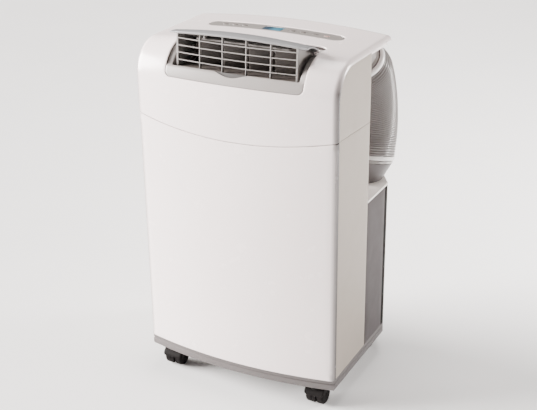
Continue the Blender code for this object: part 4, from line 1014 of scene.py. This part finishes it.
def build_grid(turn):
    parts = []
    inner = POD_HALF + 0.0012
    xs = np.linspace(MID - inner, MID + inner, 33)
    for row in range(GRID_ROWS):
        z = GRID_LOW + row * GRID_PITCH
        thick = 0.0038 if row == 0 else 0.0018
        path = [(x, grid_y(x, z) + 0.0024, z - (0.0006 if row == 0 else 0)) for x in xs]
        parts.append(bar(path, (0, 1, 0), (0, 0, 1), 0.0042, thick, 0.0009))
    top_path = [(x, grid_y(x, 0.797) + 0.0044, visor_under(x) - 0.0016) for x in xs]
    parts.append(bar(top_path, (0, 1, 0), (0, 0, 1), 0.0060, 0.0024, 0.0008))
    width = 2 * POD_HALF / GRID_COLUMNS
    for column in range(1, GRID_COLUMNS):
        x = MID - POD_HALF + column * width
        path = [
            (x, grid_y(x, z) + 0.0046, z) for z in np.linspace(GRID_LOW - 0.002, visor_under(x) - 0.003, 8)
        ]
        parts.append(bar(path, (1, 0, 0), (0, 1, 0), 0.0022, 0.0070, 0.0008))
    for side in (-1, 1):
        x = MID + side * (POD_HALF + 0.0020)
        under = [
            turn @ skin(x, QUARTER * row, 0.0018) for row in (0.40, 0.47, 0.55, 0.65, 0.75, 0.85, 0.95, 1.0)
        ]
        low_y, top_y = grid_y(x, GRID_LOW - 0.0026) + 0.0010, grid_y(x, 0.793) + 0.0010
        outline = [(low_y, GRID_LOW - 0.0026), (top_y, 0.7945)] + [(spot.y, spot.z) for spot in under]
        outline += [(POD_AXIS.y + 0.013, POD_AXIS.z + 0.006), (POD_AXIS.y + 0.011, POD_AXIS.z - 0.008)]
        outline += [(POD_AXIS.y, POD_AXIS.z - 0.013), (FRONT + 0.042, GRID_LOW - 0.0026)]
        hole = ring_of(POD_AXIS.y, POD_AXIS.z, 0.0046, 24)
        parts.append(
            shell([dense(outline, 0.004), hole], sideways(x + side * 0.0020, side), 0.0040, 0.0008, 0.006, 3)
        )
    piece("louver_grid", parts, BARS, ["louver_pod"], "louver")
    ends = (MID - inner, MID + inner)
    floor = bar([(x, FRONT + 0.0235, GRID_LOW) for x in ends], (0, 1, 0), (0, 0, 1), 0.034, 0.0024, 0.0006)
    head = bar([(x, FRONT + 0.0377, LINK_Z) for x in ends], (0, 1, 0), (0, 0, 1), 0.0076, 0.0022, 0.0006)
    piece("louver_pan", [floor, head], VANE, [], "louver")


def build_vanes():
    """Four vanes with their pivots and drive pins, and the link with its knob."""
    ahead = Vector((math.sin(VANE_TURN), -math.cos(VANE_TURN), 0))
    across_vane = Vector((math.cos(VANE_TURN), math.sin(VANE_TURN), 0))
    outline = [
        (-0.020, 0.7298), (0.030, 0.7298), (0.034, 0.7360), (0.034, 0.7600), (0.018, 0.7838), (-0.020, 0.7838)
    ]
    loop = dense(rounded(outline, [0.003, 0.002, 0.004, 0.006, 0.004, 0.003], 4), 0.004)
    spine = soft_profile([(0, 0.7262), (0.0015, 0.7262), (0.0015, 0.7874), (0, 0.7874)], 0.0003)
    pin = soft_profile([(0, 0.7820), (0.0012, 0.7820), (0.0012, 0.7885), (0, 0.7885)], 0.0003)
    slots = []
    for number in range(1, 5):
        pivot = Vector((VANE_FIRST + VANE_PITCH * (number - 1), VANE_PIVOT_Y, 0))
        drive = pivot + ahead * VANE_PIN_OUT

        def place(u, v, depth, pivot=pivot):
            bow = 0.0006 * math.sin((u + 0.020) / 0.054 * math.pi)
            return pivot - ahead * u + across_vane * (0.0008 - depth + bow) + Vector((0, 0, v))

        parts = [
            shell([loop], place, 0.0016, 0.0005, 0.006, 3),
            lathe(spine, Matrix.Translation(pivot), 20),
            lathe(pin, Matrix.Translation(drive), 16),
        ]
        piece(f"vane_leaf_{number}", parts, VANE, [f"vane_{number}"], f"vane_{number}")
        slots.append(
            box_loop(drive.x - 0.0024, FRONT + 0.0226, drive.x + 0.0024, FRONT + 0.0318, 0.0012, 0.004, 3)
        )
    low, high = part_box("vane_link")
    strip = shell([box_loop(low.x, low.y, high.x, high.y, 0.0015, 0.005, 3)] + slots,
        level(0.7880), 0.0030, 0.0005, 0.006, 3,
    )
    knob = soft_profile(
        [(0, 0.7875), (0.0045, 0.7875), (0.0036, 0.7925), (0.0032, 0.7945), (0, 0.7945)], 0.0006
    )
    turned = lathe(knob, Matrix.Translation((low.x + 0.0180, FRONT + 0.0225, 0)), 32)
    piece("link_bar", [strip, turned], LINK, ["vane_link"], "link")


def build_controls():
    """Control strip, seven keys and the display pane."""
    outline = stadium(MID, pill_v(0), PILL_HALF - 0.0007, PILL_R - 0.0007, 16)
    holes = [box_loop(LCD_X - LCD_HALF, pill_v(-0.0135), LCD_X + LCD_HALF, pill_v(0.0135), 0.0025, 0.004, 4)]
    holes += [stadium(x, pill_v(0), 0.0068, 0.0036, 8) for x in BUTTON_X]
    panel = shell(
        [dense(outline, 0.005)] + holes, lambda u, v, d: skin(u, v, d + 0.0007), 0.0024, 0.0007, 0.006, 3
    )
    piece("control_strip", panel, STRIP, ["control_panel"])
    for number, x in enumerate(BUTTON_X, 1):
        low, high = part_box(f"button_{number}")

        def place(u, v, depth, top=high.z):
            dish = 0.00025 * (1 - ((u - x) / 0.0064) ** 2)
            return Vector((u, v, top - 0.0003 - depth + (dish if depth < 0.002 else 0)))

        key = shell(
            [stadium(x, PILL_Y, 0.0064, 0.0032, 8)], place, high.z - low.z - 0.0003, 0.0008, 0.0016, 4
        )
        piece(
            f"key_{number}", key, LAMP if number == 7 else KEY, [f"button_{number}"],
            f"button_{number}"
        )
    low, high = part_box("lcd_window")
    loop = box_loop(low.x, low.y, high.x, high.y, 0.002, 0.004, 4)
    pane = shell([loop], level(high.z), high.z - low.z, 0.0003, 0.008, 2)
    piece("display_pane", pane, LCD, ["lcd_window"])


def hose_at(part):
    """Centre of the hose and its lean, part of the way from its foot to its head."""
    low = HOSE_LOW_R * HOSE_LOW_TURN
    top = HOSE_TOP_R * HOSE_TOP_TURN
    along = (HOSE_FOOT + low + top + HOSE_HEAD) * part
    if along < HOSE_FOOT:
        turn = -HOSE_LOW_TURN
        back = HOSE_FOOT - along
        y = HOSE_BACK - HOSE_LOW_R * (1 - math.cos(turn)) + back * math.sin(turn)
        return Vector((HOSE_X, y, HOSE_BEND_Z + HOSE_LOW_R * math.sin(turn) - back * math.cos(turn))), turn
    along -= HOSE_FOOT
    beyond = max(0.0, along - low - top)
    along -= beyond
    radius = HOSE_LOW_R if along < low else HOSE_TOP_R
    turn = along / HOSE_LOW_R - HOSE_LOW_TURN if along < low else (along - low) / HOSE_TOP_R
    y = HOSE_BACK - radius * (1 - math.cos(turn)) - beyond * math.sin(turn)
    return Vector((HOSE_X, y, HOSE_BEND_Z + radius * math.sin(turn) + beyond * math.cos(turn))), turn


def hose_radius(part):
    narrowing = max(0.0, (part - HOSE_TAPER) / (1 - HOSE_TAPER)) ** 2
    return HOSE_R - (HOSE_R - HOSE_END_R) * narrowing


def hoop(centre, turn, radius, sides=72, teeth=0.0):
    tilt = Matrix.Rotation(turn, 3, "X")
    made = []
    for step in range(sides):
        a = 2 * math.pi * step / sides
        reach = radius + (teeth if step % 4 < 2 else 0)
        made.append(Vector(centre) + tilt @ Vector((reach * math.cos(a), reach * math.sin(a), 0)))
    return made


def build_hose():
    """Ribbed hose with its rings, the cone at its foot and the stub at its head."""
    rings = []
    per_rib = 8
    total = HOSE_RIBS * per_rib
    for step in range(total + 1):
        centre, turn = hose_at(step / total)
        wave = abs(math.sin(math.pi * step / per_rib)) ** 0.7
        rings.append(hoop(centre, turn, hose_radius(step / total) - 0.0026 + 0.0024 * wave))
    for step in range(total, -1, -8):
        centre, turn = hose_at(step / total)
        rings.append(hoop(centre, turn, hose_radius(step / total) - 0.0060))
    piece("hose_body", loft(rings), HOSE, ["exhaust_hose"], sharp=60)

    foot, turn = hose_at(0)
    down = Vector((0, math.sin(turn), -math.cos(turn)))

    def below(pairs):
        return [(foot + down * off, turn, radius) for off, radius in pairs]

    ring = soft_profile(
        [
            (0.0008, 0.0600), (0.0008, 0.0652), (0.0099, 0.0652), (0.0099, 0.0572), (0.0008, 0.0572),
            (0.0008, 0.0600)
        ],
        0.0016, 4
    )
    piece("foot_band", loft([hoop(*spot) for spot in below(ring)]), RING, ["hose_foot_ring"])
    socket = Vector((HOSE_X, SOCKET_Y, LEDGE_Z + 0.0006))
    tip = socket - Vector((0, 0, 0.012))
    # The castellated rim takes the lighter neck grey: partly its own lighter grey, partly a painted highlight
    # on its teeth.
    rim = [
        hoop(*spot, teeth=0.0012) for spot in below([(0.0112, 0.0602), (0.0120, 0.0612), (0.0168, 0.0612)])
    ]
    rim += [hoop(*spot) for spot in below([(0.0178, 0.0600), (0.0178, 0.0562), (0.0112, 0.0562)])]
    piece("cone_rim", loft(rim), NECK, [])
    rings = [hoop(*spot) for spot in below([(0.0180, 0.0588), (0.0190, 0.0600), (0.0200, 0.0594)])]
    for step in range(1, 8):
        part = step / 8
        start, radius = foot + down * 0.0200, 0.0594
        lean = turn * (1 - part)
        rings.append(hoop(start.lerp(socket, part), lean, radius + (0.0440 - radius) * part))
    rings += [
        hoop(socket + Vector((0, 0, 0.0002)), 0, 0.0440), hoop(socket, 0, 0.0430), hoop(socket, 0, 0.0390)
    ]
    rings += [hoop(tip, 0, 0.0388), hoop(tip, 0, 0.0362), hoop(socket, 0, 0.0362)]
    rings += [hoop(*spot) for spot in below([(0.0192, 0.0560), (0.0180, 0.0560)])]
    piece("hose_cone", loft(rings), CONE, ["hose_adapter"])

    head, lean = hose_at(1)
    up = Vector((0, -math.sin(lean), math.cos(lean)))
    profile = [
        (0.0014, 0.0500), (0.0014, 0.0557), (0.0090, 0.0557), (0.0128, 0.0530), (0.0129, 0.0468),
        (0.0014, 0.0468), (0.0014, 0.0500)
    ]
    rings = [hoop(head + up * off, lean, radius) for off, radius in soft_profile(profile, 0.0030, 6)]
    piece("hose_cuff", loft(rings), RING, ["hose_collar"])
    ceiling = Vector((HOSE_X, FRONT + 0.222, 0.7484))
    rings = [
        hoop(head + up * off, lean, radius) for off,
        radius in ((0.0042, 0.0453), (0.0138, 0.0453), (0.0152, 0.0440), (0.0166, 0.0405))
    ]
    for step in range(1, 7):
        part = step / 6
        rings.append(
            hoop((head + up * 0.0170).lerp(ceiling, part), lean * (1 - part), 0.0398 - 0.0040 * part)
        )
    rings += [
        hoop(ceiling, 0, 0.0330), hoop(head + up * 0.0150, lean, 0.0370),
        hoop(head + up * 0.0042, lean, 0.0427)
    ]
    piece("hose_stub", loft(rings), NECK, ["hose_neck"])


def build_caster(label):
    low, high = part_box(f"caster_wheels_{label}")
    hub = Vector(((low.x + high.x) / 2, (low.y + high.y) / 2, WHEEL_R))
    stem_y = hub.y - TRAIL

    def hood(u, v, depth):
        reach = HOOD_R - depth
        return hub + Vector((v, reach * math.cos(u / HOOD_R), reach * math.sin(u / HOOD_R)))

    arc = [HOOD_R * math.radians(a) for a in (12, 168)]
    cap = shell([box_loop(arc[0], -0.0225, arc[1], 0.0225, 0.006, 0.003, 5)], hood, 0.0026, 0.0009, 0.0035, 3)
    spread = [math.radians(-30 + 240 * step / 28) for step in range(29)]
    loop = [(0.0240 * math.cos(a), 0.0240 * math.sin(a)) for a in spread]
    web = shell([dense(loop, 0.004), ring_of(0, 0, 0.0037, 24)],
        lambda u, v, d: hub + Vector((0.0040 - d, u, v)), 0.0080, 0.0008, 0.006, 3,
    )
    collar = [
        (0, 0.0415), (0.0092, 0.0415), (0.0092, 0.0500), (0.0055, 0.0502), (0.0055, 0.0655), (0, 0.0660)
    ]
    stem = lathe(soft_profile(collar, 0.0008), Matrix.Translation((hub.x, stem_y, 0)), 40)
    piece(
        f"caster_body_{label}", [cap, web, stem], BLACK, [f"caster_fork_{label}"],
        f"fork_{label}"
    )
    place = Matrix.Translation(hub) @ Matrix(((0, 0, 1), (1, 0, 0), (0, 1, 0))).to_4x4()
    face = [
        (0, 0.0184), (0.0040, 0.0184), (0.0046, 0.0196), (0.0100, 0.0196), (0.0110, 0.0206), (0.0185, 0.0208)
    ]
    face += [
        (TYRE_R - 0.0004, 0.0185), (TYRE_R, 0.0165), (TYRE_R, 0.0075), (TYRE_R - 0.0004, 0.0060),
        (0.0200, 0.0048), (0.0032, 0.0048)
    ]
    profile = soft_profile(face + [(r, -h) for r, h in face[::-1]], 0.0007, 3)
    piece(
        f"caster_tyres_{label}", lathe(profile, place, 64), TREAD, [f"caster_wheels_{label}"],
        f"wheels_{label}"
    )


def build_filter(node, outer, depths, cells, grip, grip_y, grip_deep):
    """Cassette with its windows and grip, and the net inside; cells is its columns and rows of windows."""
    x0, z0, x1, z1 = outer
    y0, y1 = depths
    bar_width = 0.007
    wide, tall = (x1 - x0 - bar_width) / cells[0], (z1 - z0 - bar_width) / cells[1]
    loops = [box_loop(x0, z0, x1, z1, 0.003, 0.01, 4)]
    for column in range(cells[0]):
        for row in range(cells[1]):
            u, w = x0 + bar_width + column * wide, z0 + bar_width + row * tall
            loops.append(box_loop(u, w, u + wide - bar_width, w + tall - bar_width, 0.003, 0.008, 3))
    cassette = shell(loops, upright(y1), y1 - y0, 0.0008, 0.01, 3)
    handle = shell([grip], upright(grip_y), grip_deep, 0.0010, 0.005, 3)
    piece(f"{node}_frame", [cassette, handle], HOUSING, [node], node)
    loop = box_loop(x0 + 0.004, z0 + 0.004, x1 - 0.004, z1 - 0.004, 0.001, 0.02, 2)
    net = shell([loop], upright((y0 + y1) / 2 + 0.0003), 0.0006, 0.0001, 0.02, 1)
    piece(f"{node}_net", net, GAUZE, [], node)


def build_filters():
    low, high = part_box("lower_filter")
    grip = box_loop(-0.050, 0.424, -0.008, high.z, 0.003, 0.006, 4)
    outer = (low.x, low.z, high.x, 0.4300)
    build_filter(
        "lower_filter", outer, (low.y, high.y), (3, 4), grip, high.y - 0.0003, high.y - low.y - 0.0006
    )
    low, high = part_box("upper_filter")
    grip = box_loop(low.x, 0.545, low.x + 0.008, 0.570, 0.002, 0.006, 4)
    outer = (low.x, low.z, high.x, high.z)
    build_filter("upper_filter", outer, (-0.0088, -0.0042), (4, 3), grip, high.y, 0.0146)


def paint_inside():
    looks = {
        "air_duct": INNER, "exhaust_duct": DARK, "control_board": BOARD,
        "evaporator": FINS, "condenser": FINS,
        "compressor": STEEL, "room_fan_motor": STEEL, "exhaust_fan_motor": STEEL, "room_fan_wheel": DARK,
        "exhaust_fan_wheel": DARK, "room_fan_scroll": FOAM, "exhaust_fan_scroll": FOAM, "drip_tray": FOAM,
        "electronics_box": HOUSING,
        "discharge_pipe": COPPER, "suction_pipe": COPPER, "capillary_tube": COPPER,
    }
    for name, look in looks.items():
        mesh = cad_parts[name].data
        mesh.materials.clear()
        mesh.materials.append(look)


def build_stage():
    """Pale floor and backdrop, soft studio lights and the camera."""
    bm = bmesh.new()
    bmesh.ops.create_grid(bm, x_segments=2, y_segments=2, size=9)
    mesh = bpy.data.meshes.new("studio_floor")
    bm.to_mesh(mesh)
    bm.free()
    floor = bpy.data.objects.new("studio_floor", mesh)
    bpy.context.scene.collection.objects.link(floor)
    made, nodes, links, shader = principled("studio_paper")
    links.new(
        ramp(nodes, links, noise(nodes, links, 3.0), (0.90, 0.90, 0.90), (0.92, 0.92, 0.92)),
        shader.inputs["Base Color"]
    )
    shader.inputs["Roughness"].default_value = 0.9
    mesh.materials.append(made)

    world = bpy.data.worlds.new("studio")
    bpy.context.scene.world = world
    world.use_nodes = True
    world.node_tree.nodes["Background"].inputs["Color"].default_value = (1.0, 0.972, 0.955, 1)
    world.node_tree.nodes["Background"].inputs["Strength"].default_value = 0.09
    for name, kind, spot, size, power in (
        ("key", "SUN", (-3.0, -1.0, 1.22), 0.70, 31.0),
        ("top", "AREA", (0.0, 0.6, 2.8), 1.5, 60.0),
        ("right", "AREA", (2.1, 1.75, 1.05), 0.7, 118.0),
    ):
        lamp = bpy.data.lights.new(name, kind)
        if kind == "SUN":
            lamp.angle = size
        else:
            lamp.shape = "DISK"
            lamp.size = size
        lamp.energy = power
        lamp.color = WARM
        made = bpy.data.objects.new(name, lamp)
        made.location = spot
        made.rotation_euler = (AIM - Vector(spot)).to_track_quat("-Z", "Y").to_euler()
        bpy.context.scene.collection.objects.link(made)

    yaw, pitch, roll = CAMERA_YAW, CAMERA_PITCH, CAMERA_ROLL
    ahead = Vector((-math.sin(yaw) * math.cos(pitch), math.cos(yaw) * math.cos(pitch), -math.sin(pitch)))
    right = ahead.cross(Vector((0, 0, 1))).normalized()
    up = right.cross(ahead)
    right, up = right * math.cos(roll) + up * math.sin(roll), up * math.cos(roll) - right * math.sin(roll)
    lens = bpy.data.cameras.new("camera")
    lens.lens = CAMERA_LENS
    lens.sensor_width = 36.0
    camera = bpy.data.objects.new("camera", lens)
    turn = Matrix((right, up, -ahead)).transposed().to_4x4()
    camera.matrix_world = Matrix.Translation(CAMERA_AT) @ turn
    bpy.context.scene.collection.objects.link(camera)
    bpy.context.scene.camera = camera


build_covers()
build_sides()
build_base()
build_rear()
build_bezel()
build_pod()
build_vanes()
build_controls()
build_hose()
for corner in CASTERS:
    build_caster(corner)
build_filters()
paint_inside()
build_stage()
